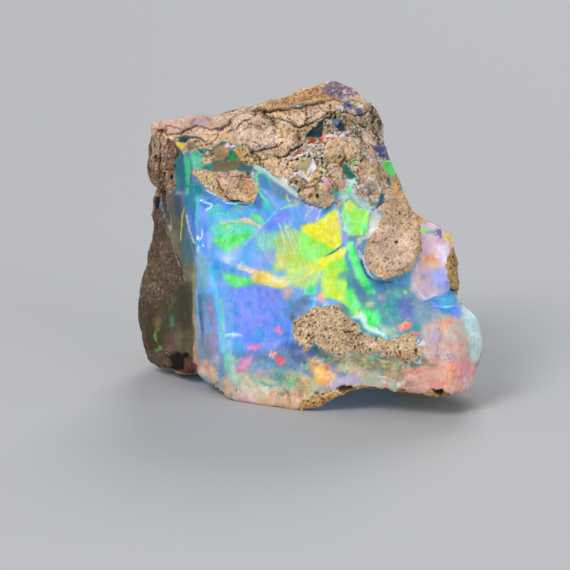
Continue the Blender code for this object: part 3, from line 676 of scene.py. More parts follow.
# The green rays that lead down to the right from them.
GREEN_FAN: Marks = (
    Shard(Hue.GREEN, path(3.3, 12.8, 4.4, 12.7, 4.9, 10.7, 4.5, 10, 3.7, 10.3, 3.2, 11.7)),
    Blot(Hue.STEEL_BLUE, 3.6, 15.7, 0.94, 0.42, -76, 0.6, 0.95),
    Shard(Hue.SEAFOAM_DARK, path(2.4, 14.2, 3.3, 14.7, 4.1, 14.5, 4.1, 13.8, 3.2, 13.6, 2.5, 13.8), 0.9, 0.6),
    Shard(Hue.SLATE_BLUE, path(4, 14, 4.6, 13.7, 5.3, 12.6, 5.3, 11.5, 4.7, 11.5, 4.2, 12.5), 0.95, 0.63),
    Band(Hue.GREEN, 0.45, path(3.6, 17.3, 3.9, 16.1, 4.6, 14, 5.2, 13.3, 5.6, 12.6), 1, 0.75),
    Blot(Hue.SEA_TEAL, 5.5, 12.8, 0.55, 0.66, -70, 0.9, 0.95),
    Band(Hue.NAVY, 0.2, path(4.8, 15.6, 5.1, 14.7, 5.6, 14, 6.5, 13.5, 8, 13.4), 0.95),
    Streak(Hue.GLINT_BLUE, 0.11, path(4.6, 16.6, 5, 16, 5.2, 15.1, 5.6, 14.3, 6.3, 13.7), 0.95),
    Shard(Hue.DEEP_BLUE, path(5.8, 13.8, 8, 13.3, 9.2, 13.7, 9.5, 12.9, 8, 12.5, 6.3, 12.5), 0.7, 0.69),
    Blot(Hue.SEAFOAM_DARK, 8.4, 12.4, 0.81, 0.91, 0, 1, 0.85),
    Shard(Hue.STEEL_BLUE, path(8, 13.4, 10.1, 14.7, 10.4, 13.7, 9.6, 13.1), 0.85, 0.61),
    Blot(Hue.LIME_SOFT, 9.2, 12.5, 0.34, 0.3, 0, 0.9, 0.85),
    Blot(Hue.MAUVE, 6.9, 11.8, 0.63, 0.57),
    Shard(Hue.INDIGO_SOFT, path(8.5, 11.9, 10, 12, 10.3, 10.4, 10.1, 9.4, 9, 9.8, 8.4, 10.8), 0.95),
    Blot(Hue.BEIGE_LIME, 5.6, 11.1, 0.57, 0.39, 10),
    Shard(Hue.SPRING_GREEN, path(4.6, 10.6, 5.3, 10.8, 6.3, 10.5, 6.8, 10.1, 6.7, 9.1, 6.3, 8.7, 5.7, 8.8)),
    Blot(Hue.LIME, 4.3, 10.5, 0.41, 0.34),
    Shard(Hue.SAGE_LIGHT, path(6.8, 9, 8.3, 9, 8.6, 8.2, 8, 7.8, 7.1, 8.2), 0.85, 0.6),
    Blot(Hue.CORAL, 9.2, 9, 0.8, 0.5, 20, 0.4, 1),
    Blot(Hue.CORAL, 10.2, 8.1, 0.51, 0.35, -23, 0.5, 1),
    # painted highlight: a pale mint glint
    Shard(Hue.WHITE_MINT, path(3.8, 9.9, 4.8, 10.5, 5.3, 10.1, 5.5, 9.2, 5.8, 8.9, 6.4, 8.8, 7.6, 7.7, 5.7, 8.5,
        5, 8.9, 4.7, 9.7), 1, 0.43),
    Scatter(8.8, 10, 3.2, 3, 0, 130, 0.09, 0.34, 0.7, -50, 0.42,
            (Hue.TEAL, Hue.GREEN, Hue.INDIGO, Hue.SEAFOAM, Hue.PERIWINKLE, Hue.PEACH, Hue.STEEL, Hue.SPRING)),
    Scatter(5.9, 12.7, 2.6, 3.4, -50, 60, 0.09, 0.32, 0.5, -55, 0.4,
            (Hue.GREEN, Hue.LIME, Hue.SEA_GREEN, Hue.TEAL, Hue.YELLOW)),
)

# The lilac slab at the right, and a few soft patches of the face.
SLAB: Marks = (
    Shard(Hue.PINK_LILAC, path(10.2, 19.9, 11.2, 20.3, 12.8, 20.1, 14.7, 19.2, 14.7, 16.9, 14, 15.5, 14, 12.5,
        12.4, 11.7, 10.8, 11.5, 9.8, 12.9, 10.1, 14.7, 10.8, 16.5)),
    Blot(Hue.LIME_GREEN, 11.1, 18.7, 0.37, 0.51, -10, 0.8, 0.95),
    Blot(Hue.SEAFOAM_DARK, 12, 18.6, 0.65, 0.41, 0, 0.9, 0.95),
    Blot(Hue.PURPLE_GREY, 12.7, 18.4, 0.65, 0.35, -48, 0.6, 0.95),
    Blot(Hue.HONEY, 13.7, 17.9, 0.65, 0.39, -56, 0.3, 1),
    Blot(Hue.PEACH, 14.1, 17.7, 0.79, 0.28, -80, 0.6, 0.95),
    Shard(Hue.WHITE_LILAC, path(12.5, 17.2, 13.4, 17.2, 13.8, 16.8, 13.8, 16, 13.5, 15.5,
        13, 15.9), 0.95, 0.59),
    Streak(Hue.STEEL_BLUE, 0.14, path(10.9, 16, 10.4, 15.4, 10.2, 14.9), 0.8),
    Shard(Hue.IRIS_PALE, path(11.7, 14.6, 13.5, 14.8, 13.9, 13.5, 13.7, 12.5, 12.6, 12.6, 11.6, 13.5), 0.8),
    Blot(Hue.PURPLE_SOFT, 11.1, 14, 0.41, 0.41, 0, 1, 0.85),
    Blot(Hue.PINK_GREY, 11.8, 13.7, 0.45, 0.51, 0, 0.9, 0.85),
    Blot(Hue.PEACH_MILK, 10.5, 13.5, 0.41, 0.45, -30),
    Shard(Hue.PINK_LILAC, path(10.9, 13.2, 13, 12.9, 13.4, 12.6, 11.2, 11.6, 10.8, 12.4), 0.95, 0.71),
    Blot(Hue.IRIS, 13.5, 13.4, 0.3, 0.61, 10, 0.9, 0.7),
    Streak(Hue.WHITE_LILAC, 0.1, path(11, 11.6, 13.6, 12.7), 0.8),
    Shard(Hue.SALMON, path(11.1, 16.2, 12.4, 16.4, 12.7, 15.5, 11.7, 15, 10.8, 15.4), 0.9, 0.67),
    Blot(Hue.CREAM_YELLOW, 11.9, 15.1, 0.81, 0.34, 0, 1),
    Streak(Hue.GLINT, 0.09, path(10.1, 13.3, 11.4, 11.7), 0.8),
    Scatter(-14.8, 17.7, 1.2, 4.5, -8, 34, 0.1, 0.34, 0.3, 98, 0.35,
            (Hue.TEAL_SOFT, Hue.LIME_SOFT, Hue.STEEL, Hue.PERIWINKLE, Hue.KHAKI)),
)

# The opal lobe low down at the right, with glints along its rim laid as painted highlights.
RIGHT_LOBE: Marks = (
    Shard(Hue.PEACH_GREY, path(11.2, 10, 12.8, 10.6, 14.7, 10.4, 15.9, 10, 16.9, 8.6, 16.5, 5.6, 15.1, 4.2,
        12.8, 3.8, 11.2, 4.4, 10.8, 7.1)),
    Shard(Hue.STEEL_SOFT, path(10, 11.9, 12.6, 10.6, 12.8, 9.8, 11.6, 9.2, 10.4, 9.4), 0.95),
    Shard(Hue.AZURE_DEEP, path(11.2, 11.5, 13.8, 12.6, 14.4, 12.2, 15.3, 9.9, 12.7, 10.5)),
    Shard(Hue.CYAN_DEEP, path(12.6, 11.8, 13.5, 12.2, 14.1, 12.2, 14.1, 11.4, 13.4, 10.7,
        12.9, 11.2), 0.95, 0.61),
    Blot(Hue.CYAN, 14.2, 11.9, 0.34, 0.47, -30, 0.9, 0.85),
    Blot(Hue.IRIS, 14.5, 10.5, 0.74, 0.46, -45, 0.5, 1),
    Streak(Hue.NAVY, 0.09, path(11.2, 11.4, 12.5, 12), 0.6),
    Shard(Hue.MILK_MINT, path(14.8, 11.5, 15.5, 11.3, 17.1, 9.4, 17.4, 7.5, 17.3, 5.8, 16.7, 5.2, 16.1, 5.6)),
    Streak(Hue.GLINT, 0.24, path(15.7, 10.7, 16.8, 9.7), 0.9, 0.9),
    Blot(Hue.SALMON, 13.3, 9, 0.67, 0.54, 87, 0.6, 0.85),
    Blot(Hue.CORAL_SOFT, 13.9, 9.6, 0.45, 0.34, 20, 0.9, 0.95),
    Blot(Hue.MAUVE_PALE, 12.1, 8.1, 0.61, 0.91, 0, 1, 0.8),
    Shard(Hue.LOBE_SALMON, path(12.6, 7.3, 15.1, 7.4, 15.9, 6.6, 15.8, 5.9, 12.8, 5.9), 0.8),
    Blot(Hue.LOBE_SALMON, 12.1, 6.5, 0.71, 0.61, 0, 1, 0.8),
    Streak(Hue.DUSK, 0.08, path(12.7, 8.9, 12.8, 7.8, 12.6, 6.4), 0.8),
    Blot(Hue.SLATE_BLUE, 12.5, 5.9, 0.47, 0.3, 10),
    Blot(Hue.SLATE_LILAC, 13.9, 5.8, 0.75, 0.28, 4),
    Shard(Hue.LOBE_SALMON, path(11.4, 5.7, 13.4, 5.7, 16.5, 5.4, 16.6, 3.5, 15.3, 2.2, 12.8, 1.8, 11.2, 2.7)),
    Shard(Hue.CORAL_SOFT, path(13.6, 5.5, 14.6, 5.4, 14.7, 4.2, 14.2, 2.9, 13.2, 2.9, 13, 4.2)),
    Blot(Hue.ROSE_PINK, 15.4, 4.8, 1.01, 0.55, -10, 1, 1),
    Blot(Hue.PINK_GREY, 15.4, 3.3, 0.91, 0.65, 0, 1, 0.85),
    Blot(Hue.PEACH, 14, 2.5, 1.32, 0.51, 0, 1, 0.7),
    Streak(Hue.GLINT, 0.13, path(15.8, 8, 16.2, 8.3, 16.6, 7.9)),
    Blot(Hue.PALE_CYAN, 16, 9.4, 0.81, 0.91, -30, 1, 0.6),
    Blot(Hue.SAGE_LIGHT, 15.1, 8.6, 0.61, 0.61, 0, 1, 0.7),
    Blot(Hue.SEAFOAM, 16.1, 6.5, 0.61, 0.51, 0, 1, 0.6),
    Blot(Hue.CORAL_HOT, 14.2, 5, 0.47, 0.55, 0, 1, 0.8),
    Blot(Hue.ORCHID, 15.3, 4.4, 0.81, 0.51, -8, 1, 0.45),
    Blot(Hue.SLATE_LILAC, 13.9, 5.8, 0.67, 0.22, 4, 0.9, 0.8),
    Blot(Hue.LILAC_GREY, 12.2, 7.3, 0.61, 1.01, 0, 1, 0.5),
    Blot(Hue.MAUVE_PALE, 13.1, 6.6, 0.71, 0.41, 0, 1, 0.35),
    Scatter(14.4, 5.6, 3, 3.4, 10, 100, 0.16, 0.51, 0.7, 0, 0.3,
            (Hue.SALMON, Hue.PINK_LILAC, Hue.SEAFOAM, Hue.PEACH_MILK, Hue.MAUVE_PALE, Hue.BEIGE_GREEN,
             Hue.ROSE_PINK)),
    # painted highlights: small glints along the rim
    Scatter(16.3, 7.6, 0.9, 2.4, -8, 46, 0.07, 0.2, 0.6, 80, 0.6, (Hue.GLINT, Hue.PALE_CYAN, Hue.PINK_LILAC)),
)

# The lower edge of the opal face.
LOWER_EDGE: Marks = (
    Shard(Hue.BEIGE_GREEN, path(-1.4, 4.4, 1.1, 3.1, 4.7, 4.4, 9.8, 4.2, 10, 1.7, -1.4, 1.1), 0.9),
    Shard(Hue.EDGE_GREY, path(-12.1, 5, -10.3, 4.8, -8.9, 2.1, -7.5, 1.3, -7.5, 0.7, -10.1, 1.7, -11.9, 3.1)),
    Blot(Hue.PEACH_TAN, -10.9, 4.3, 1.01, 0.51, -30, 1, 0.8),
    Blot(Hue.BROWN_GLASS, -9.9, 3.2, 0.41, 0.71, -40, 1, 0.7),
    Shard(Hue.PEACH_TAN, path(-9.3, 3.5, -8.3, 4, -4.4, 3.8, -2.4, 4.4, -0.2, 3.5, -0.4, 1, -3.2, 0.3,
        -7.5, 0.7, -8.9, 1.9)),
    Shard(Hue.SAGE_LIGHT, path(-8.9, 6, -7.9, 6, -7.5, 3.3, -8.7, 3.5), 0.9, 0.76),
    Shard(Hue.BEIGE_GREEN, path(-8.3, 4.4, -4.4, 4.6, -1.4, 4.4, -1.4, 2.5, -7.5, 2.3), 0.9),
    Blot(Hue.MAUVE_PALE, -9.7, 5.6, 0.61, 0.71, 0, 1, 0.7),
    Blot(Hue.SEAFOAM, -8.8, 5.7, 1.24, 0.23, -89),
    Streak(Hue.SEAFOAM, 0.26, path(-9.1, 7.1, -8.8, 5.9, -8.8, 4.6), 0.85, 1),
    Blot(Hue.MINT_GREEN, -7.7, 5.6, 0.28, 0.37, 0, 0.9, 0.8),
    Shard(Hue.PINK, path(-7.3, 5.9, -6.1, 5.9, -6.2, 5.2, -7.7, 4.2, -7.9, 4.7), 0.8, 0.62),
    Blot(Hue.ROSE, -7.4, 4.5, 0.51, 0.34, 20, 0.9, 0.8),
    Blot(Hue.SALMON_PINK, -5.4, 5.4, 0.71, 0.24, 10, 0.9, 0.6),
    Shard(Hue.STEEL_SKY, path(-6.4, 5, -4.6, 5.4, -3.8, 5, -5, 4.4, -6.6, 4.1), 0.9, 0.61),
    Shard(Hue.TEAL_SOFT, path(-4.1, 4.7, -3.1, 4.8, -3, 3.1, -3.8, 2.9, -4.2, 3.8), 0.9, 0.67),
    Blot(Hue.YELLOW_GREEN, -7.6, 3.9, 0.51, 0.26, 0, 0.9, 0.85),
    Streak(Hue.SEA_TEAL, 0.13, path(-6.1, 3.5, -4.6, 3, -3.8, 3), 0.9, 0.7),
    Blot(Hue.TEAL_BLUE, -5.3, 3.4, 0.28, 0.24, 0, 0.8, 0.85),
    Streak(Hue.SEA_TEAL, 0.16, path(-3.7, 3.1, -3.4, 3.5, -3.3, 4.2), 0.8),
    Blot(Hue.CREAM, -5.2, 1.9, 1.22, 0.41, -5, 1, 0.4),
    Shard(Hue.PEACH_TAN, path(-5.2, 1.9, -3.2, 2.3, -1.3, 1.9, -0.5, 1.5, -1.8, 0.5, -4.4, 0.9), 0.9),
    Blot(Hue.GREEN, -2, 3.5, 0.34, 0.41, 0, 0.8, 0.85),
    Shard(Hue.OCHRE_OPAL, path(-1.2, 3.4, -0.5, 3.5, -0.1, 2.3, -0.8, 1.7, -1.3, 2.3), 0.9, 0.62),
    Shard(Hue.STEEL_DARK, path(-2.4, 7.3, -0.2, 7.3, 0.3, 5.8, -0.8, 5.2, -2.2, 5.6), 0.95),
    Blot(Hue.PURPLE_SOFT, -1, 5.9, 0.41, 0.41, 0, 1, 0.5),
    Blot(Hue.BEIGE_GREEN, -1.2, 4.9, 0.51, 0.41, 0, 1, 0.7),
    Shard(Hue.DEEP_TEAL, path(-0.3, 7.2, 0.3, 7.2, 0.6, 6.7, 1.5, 6.2, 2.9, 5.8, 2.7, 5.4, 1.9, 5.2, 0.5, 5.9,
        -0.1, 6.4), 0.95, 0.6),
    Shard(Hue.ORANGE_YELLOW, path(-0.5, 5.7, 0.3, 5.7, 2.3, 4.3, 2.4, 3.5, 0.7, 2.9, 0.2, 3.3)),
    Blot(Hue.CORAL_HOT, 0.1, 5.4, 0.41, 0.24, -35, 0.7, 0.95),
    Blot(Hue.YELLOW_AMBER, 0.6, 4.2, 0.41, 0.61, -30, 0.9, 0.85),
    Blot(Hue.RED_PINK, 1.5, 4.9, 0.26, 0.32, 0, 0.8, 0.95),
    Blot(Hue.LIME_SOFT, -0.6, 4.9, 0.32, 0.39, 20),
    Blot(Hue.MAUVE, 2.5, 4.6, 0.54, 0.31, -79, 0.8, 0.85),
    Shard(Hue.BEIGE_LIME, path(2.8, 5.6, 3.9, 5.6, 4.3, 5, 3.9, 4.2, 3, 4.5), 0.9, 0.64),
    Shard(Hue.MAUVE_PALE, path(0.9, 2.8, 2.1, 3.7, 3.3, 4.1, 4.5, 4, 5.3, 3.4, 2.1, 2.7), 0.85, 0.65),
    Shard(Hue.MOSS_GREY, path(0.5, 6.4, 4.7, 6.6, 8, 6.2, 10.8, 5.6, 12.4, 5, 11.8, 4.2, 9, 3.8, 5.3, 4.8,
        3.3, 5), 0.95),
    Blot(Hue.WHITE_MINT, 3.9, 6, 0.51, 0.18, 10, 0.9, 0.5),
    Blot(Hue.WHITE_MINT, 5.5, 6.1, 0.51, 0.16, -10, 0.9, 0.5),
    Blot(Hue.DARK_SAGE, 4.7, 5.8, 0.71, 0.24, 0, 0.9, 0.7),
    Blot(Hue.DARK_SAGE, 7.3, 5.7, 0.81, 0.3, -10, 0.9, 0.7),
    Blot(Hue.BEIGE_LIME, 3.4, 5.4, 0.71, 0.41, 0, 1, 0.7),
    Streak(Hue.BEIGE_LIME, 0.12, path(6.4, 5.8, 7.1, 5.4, 8, 5.4), 0.8),
    Blot(Hue.SEA_TEAL, 6.1, 5.9, 0.61, 0.26, 0, 0.9, 0.6),
    Blot(Hue.OCHRE_OPAL, 7.5, 3.9, 0.48, 0.35, -64, 0.6, 0.85),
    Blot(Hue.SEA_GREEN, 8.5, 5.1, 0.56, 0.27, -70, 0.5, 0.95),
    Blot(Hue.TEAL_DARK, 10.2, 5.2, 0.59, 0.39, -65, 0.6),
    Blot(Hue.PEACH_MILK, 8.5, 4.1, 0.41, 0.34),
    Shard(Hue.LOBE_SALMON, path(9.2, 4.5, 11.3, 5, 13, 4.6, 12.8, 2.7, 10.6, 1.9, 9, 2.5), 0.95),
    Streak(Hue.WHITE_LILAC, 0.14, path(6.9, 3.7, 7.4, 2.9)),
    Blot(Hue.WHITE_LILAC, 8.8, 3.3, 0.45, 0.29, 33, 0.5, 0.85),
    Streak(Hue.OLIVE_DARK, 0.08, path(-3, 2.6, -2.5, 2.1, -2.3, 1.3), 0.7),
    Blot(Hue.OCHRE_OPAL, -2.6, 1.3, 0.91, 0.41, -10, 1, 0.5),
    # painted highlight: a small white glint
    Blot(Hue.WHITE, -1.1, 1.9, 0.16, 0.3, 10, 0.8, 0.8),
    Blot(Hue.WHITE_LILAC, -1.6, 1.5, 0.24, 0.18, 0, 0.8, 0.6),
    Blot(Hue.SALMON, 4.2, 4.6, 0.61, 0.51, 0, 1, 0.8),
    Blot(Hue.SALMON, 5.5, 4.5, 0.71, 0.41, 0, 1, 0.7),
    Blot(Hue.OCHRE_OPAL, 7.9, 4.2, 1.01, 0.41, 0, 1, 0.6),
    Blot(Hue.CORAL_SOFT, 1.9, 3.9, 0.61, 0.47, -30, 0.9, 0.8),
    Blot(Hue.OCHRE_OPAL, 8.4, 5, 0.51, 0.41, 0, 0.9, 0.5),
    Blot(Hue.KHAKI, 11.2, 5.2, 0.91, 0.51, 10, 1, 0.7),
    Blot(Hue.STEEL_TEAL, -8.3, 1.9, 0.61, 0.61, -30, 1, 0.6),
    Blot(Hue.PINK_LILAC, -6.4, 1.3, 1.22, 0.34, -4, 1, 0.8),
    Blot(Hue.SEA_GREEN, -2.4, 3.3, 0.81, 0.51, 0, 1, 0.5),
    Blot(Hue.BROWN_GLASS, -1.4, 2.5, 0.51, 0.81, 0, 1, 0.5),
    Blot(Hue.OLIVE_DARK, -3, 2.1, 0.81, 0.3, 10, 1, 0.5),
    Blot(Hue.BROWN_GLASS, 9.8, 3.1, 1.01, 0.51, -10, 1, 0.6),
    Blot(Hue.BROWN_GLASS, 8.4, 3.8, 0.81, 0.41, 0, 1, 0.4),
    Blot(Hue.SAGE, -2.3, 3.5, 1.32, 0.91, -10, 1, 0.55),
    Streak(Hue.WHITE_LILAC, 0.09, path(6.5, 3.9, 7.8, 3.1), 0.9, 0.7),
    Streak(Hue.WHITE_LILAC, 0.08, path(6.8, 3.9, 7.6, 3.7, 8.3, 3.6), 0.85, 0.7),
    Blot(Hue.BEIGE, 1.1, 2.6, 0.91, 0.41, 0, 1, 0.6),
    Blot(Hue.PEACH_TAN, 4.7, 4.4, 1.22, 0.71, 0, 1, 0.5),
    Scatter(-6.8, 3.3, 5.1, 1.7, -6, 150, 0.14, 0.51, 0.6, 10, 0.5,
            (Hue.SEAFOAM, Hue.LIME_SOFT, Hue.PEACH_TAN, Hue.PALE_TEAL, Hue.PINK_SOFT, Hue.STEEL_SOFT, Hue.PEACH,
             Hue.LILAC_GREY, Hue.TEAL_SOFT)),
    Scatter(-3, 2.9, 2.6, 1.4, 4, 70, 0.1, 0.34, 0.55, 0, 0.6,
            (Hue.BROWN_GLASS, Hue.OLIVE_DARK, Hue.TEAL_SOFT, Hue.CREAM, Hue.SAGE)),
    Scatter(5.3, 5.2, 5.7, 1.2, -4, 190, 0.12, 0.39, 0.6, 0, 0.65,
            (Hue.LIME_SOFT, Hue.ORANGE_YELLOW, Hue.TEAL_DARK, Hue.PEACH_MILK, Hue.BROWN_GLASS, Hue.SAGE,
             Hue.CORAL_SOFT, Hue.WHITE_MINT, Hue.OCHRE_OPAL)),
    Scatter(9.2, 3.8, 2.4, 0.9, 0, 60, 0.12, 0.41, 0.6, 0, 0.55,
            (Hue.CORAL_SOFT, Hue.PEACH_MILK, Hue.LIME_SOFT, Hue.ROSE, Hue.BROWN_GLASS, Hue.RUST_SOFT)),
    Scatter(1.7, 4.2, 1.4, 1.2, 0, 40, 0.12, 0.34, 0.6, -40, 0.5,
            (Hue.SALMON, Hue.YELLOW_AMBER, Hue.CORAL_SOFT, Hue.LILAC, Hue.SAGE)),
    # painted highlight: a pale cyan highlight down the left ridge
    Band(Hue.PALE_CYAN, 0.41, path(-8.6, 7.4, -8, 3.5), 0.5, 1),
    Blot(Hue.TURQUOISE, -7.7, 7.1, 0.51, 0.71, 0, 1, 0.5),
    Blot(Hue.PINK_LILAC, -7.1, 1.9, 1.52, 0.71, 8, 1, 0.8),
    Blot(Hue.STEEL_SOFT, -7.9, 2.9, 0.71, 0.61, 0, 1, 0.6),
    Blot(Hue.PINK_SOFT, -5.2, 4.4, 1.22, 0.41, 0, 1, 0.5),
    Blot(Hue.TEAL_SOFT, -4.2, 4, 1.42, 0.41, -6, 1, 0.6),
    Blot(Hue.LILAC, -1.4, 6.4, 0.91, 0.51, 0, 1, 0.4),
    Blot(Hue.TEAL_DARK, -7.6, 2.6, 0.18, 0.37, 0, 0.9, 0.7),
)

# The thin smoky flake high up at the left.
FLAKE: Marks = (
    Shard(Hue.SMOKE, path(-16, 22.5, -15.6, 23.1, -13.7, 22.8, -13.2, 21.8, -12.1, 17.4, -11.8, 14.6,
        -13.3, 14.5, -13.7, 15, -14.6, 17.4, -15.6, 21.8)),
    Shard(Hue.STEEL_TEAL, path(-13.1, 19.6, -12.5, 19, -11.9, 15.5, -12.9, 15.3, -13.4, 17.7), 0.95),
    Shard(Hue.KHAKI, path(-15, 19.2, -13.9, 18.8, -13.5, 15.5, -13.9, 15.1), 0.85, 0.57),
    Shard(Hue.NAVY_SMOKE, path(-14.2, 22.8, -13.6, 22.8, -13.3, 20.8, -13.5, 19.6, -14, 20.4), 0.8, 0.52),
    Streak(Hue.KHAKI_YELLOW, 0.1, path(-13, 21.2, -13.3, 20.2, -13.5, 17.7), 0.95, 0.7),
    Streak(Hue.GLINT_BLUE, 0.1, path(-12.9, 20.3, -12.6, 18.8, -12.2, 17.5), 0.9, 0.7),
    # painted highlight: a white glint on the flake's edge
    Streak(Hue.WHITE, 0.09, path(-12.4, 18.2, -12.1, 17.4), 0.9, 0.7),
    Shard(Hue.KHAKI, path(-13.9, 15.1, -11.8, 15.2, -11.8, 13.1, -12.3, 12.7, -13.2, 13.3), 0.95),
    Blot(Hue.STEEL_TEAL, -12.8, 16.9, 0.71, 1.83, -8, 1),
    Streak(Hue.STEEL_SKY, 0.08, path(-12.8, 19, -12.2, 16.5), 0.5),
)

# The ridge at the left edge of the face, with white glints laid on it as painted highlights.
LEFT_RIDGE: Marks = (
    Shard(Hue.SLATE, path(-14.2, 24.6, -13.1, 25, -12.5, 24.6, -12.3, 21.8, -12.9, 20.6, -13.4, 22.2,
        -13.9, 22.8)),
    Shard(Hue.DEEP_TEAL_BLUE, path(-14.2, 26.4, -13.2, 26.7, -12.5, 26.1, -12.3, 23.6, -12.5, 22.2, -13.3, 24.2,
        -14.1, 24.4), 0.9),
    Blot(Hue.NAVY, -13.5, 23.2, 0.68, 0.35, -78, 0.7, 0.85),
    Shard(Hue.MID_BLUE, path(-13.1, 22.2, -12.5, 22.4, -11.9, 21.8, -12, 17.9, -12.4, 18.8), 1, 0.62),
    Shard(Hue.SEA_TEAL2, path(-13.1, 22.4, -11.9, 22.4, -11.7, 21, -12.3, 20.6, -12.8, 21), 0.85, 0.69),
    Band(Hue.CYAN_TEAL, 0.26, path(-11.8, 22.2, -11.8, 19.4), 0.95),
    Band(Hue.SKY_DEEP, 0.24, path(-11.6, 19.6, -11.5, 18.2, -11.6, 16.7), 0.9, 0.9),
    Band(Hue.PERIWINKLE, 0.43, path(-11.1, 21, -11, 17.3, -10.7, 15.7), 0.95, 0.9),
    Band(Hue.IRIS_PALE, 0.2, path(-10.7, 17.9, -10.5, 15.5), 0.7, 0.9),
    Blot(Hue.WHITE, -11.7, 18, 0.19, 0.26, 15, 0.7, 1),
    Streak(Hue.WHITE, 0.09, path(-11.3, 18.8, -11.3, 18.2, -11.5, 17.7), 0.9, 0.7),
    Blot(Hue.WHITE, -11.1, 17.2, 0.17, 0.18, 0, 0.7, 0.95),
    Blot(Hue.GLINT_BLUE, -11.7, 16.9, 0.26, 0.57, -20, 0.9, 0.85),
    Shard(Hue.CYAN_STEEL, path(-12, 16.2, -10.9, 16.1, -10.5, 14.5, -10.9, 12.7, -11.7, 12.5), 0.9),
    Shard(Hue.SKY_DEEP, path(-10.5, 15.8, -9.3, 15.9, -8.2, 14.7, -8.9, 14.3, -10.1, 14.9), 0.8, 0.69),
    Blot(Hue.BLUE, -11.1, 21.3, 0.5, 0.3, -31, 0.5),
    Band(Hue.WHITE, 0.06, path(-11.5, 21.8, -10.4, 21.4, -10.2, 21.2, -10.9, 20.7), 1, 0.7),
    Band(Hue.WHITE, 0.09, path(-11.2, 22.9, -9.4, 22.1), 0.9, 0.75),
    Streak(Hue.HIGHLIGHT_AQUA, 0.1, path(-9.1, 21.7, -8.6, 21.4, -7.9, 21.4), 0.9, 0.7),
    Streak(Hue.HIGHLIGHT_AQUA, 0.09, path(-9.8, 20.4, -9.1, 20.4), 0.6),
    Blot(Hue.EMERALD_TINT, -12.8, 22.8, 0.22, 0.61, 0, 0.8),
    Shard(Hue.SEA_TEAL2, path(-12.5, 23.8, -11.3, 23.4, -10.9, 22.6, -11.7, 22.2, -12.5, 22.4), 0.85, 0.68),
    Scatter(-12.9, 24.2, 1.4, 3.4, 0, 70, 0.12, 0.41, 0.35, 85, 0.45,
            (Hue.TEAL_DARK, Hue.SPRING, Hue.NAVY, Hue.TEAL, Hue.SEA_GREEN, Hue.BLUE)),
)

# The opal below the flake, on the shadow side: its own colours, darkened as painted shade.
LEFT_LOWER: Marks = (
    Shard(Hue.OLIVE_BROWN, path(-18.6, 11.7, -15, 12, -13.7, 13.5, -12.3, 13.5, -12.1, 11.7, -12.1, 5.4,
        -13.9, 5.2, -16.6, 5.8, -18.6, 5.6)),
    Shard(Hue.OLIVE_SMOKE, path(-13.9, 13.3, -12.3, 13.1, -12.3, 11.2, -13.7, 11.1), 0.8),
    Shard(Hue.CHARCOAL, path(-13.9, 12.1, -12.3, 12.5, -12.3, 9.4, -13.5, 9.4), 0.75),
    Shard(Hue.OLIVE_GREEN, path(-13.9, 8.4, -12.2, 8.8, -12.2, 5.8, -13.1, 6, -13.9, 6.6), 0.9),
    Blot(Hue.KHAKI, -12.7, 6.6, 0.41, 0.81, 0, 1, 0.5),
    Shard(Hue.MAUVE_DARK, path(-15.2, 8.2, -14.1, 8.6, -13.8, 6.8, -14.8, 6.6), 0.8, 0.64),
    Streak(Hue.LEAF_DARK, 0.18, path(-13.9, 12, -14.4, 11.2, -15.2, 10.6), 0.95),
    Blot(Hue.GREEN_BOTTLE, -14.3, 9.7, 0.3, 0.95),
    Streak(Hue.LEAF, 0.2, path(-15.6, 8.7, -16, 8.5, -16.1, 8, -15.9, 7.4), 1, 0.75),
    Blot(Hue.LEAF, -15.6, 6.6, 0.44, 0.26, 21, 0.5, 0.95),
    Blot(Hue.MAUVE_DARK, -16.2, 10.7, 1.12, 0.81, 0, 1, 0.8),
    Blot(Hue.OLIVE_GREEN, -15.8, 9, 0.71, 1.22, 0, 1, 0.5),
    Blot(Hue.RUST_ROSE, -14.8, 8, 0.51, 0.81, 0, 1, 0.5),
    Scatter(-14.8, 9.4, 2, 3, 20, 70, 0.1, 0.47, 0.5, 70, 0.4,
            (Hue.OLIVE_SMOKE, Hue.RUST_BROWN, Hue.GREEN_BOTTLE, Hue.MAUVE_DARK, Hue.LEAF_DARK, Hue.BROWN_GLASS,
             Hue.SMOKE)),
    Blot(Hue.DUSK_ROSE, -14.8, 6.4, 1.12, 0.91, 0, 1, 0.4),
    Blot(Hue.SEA_GREEN, -14.4, 9.4, 0.3, 0.91, 0, 1, 0.4),
    Blot(Hue.OCHRE_OPAL, -15.8, 9.4, 0.51, 1.01, 0, 1, 0.35),
    Blot(Hue.MAUVE_GREY, -13.9, 7.8, 0.81, 1.22, 0, 1, 0.22),
)

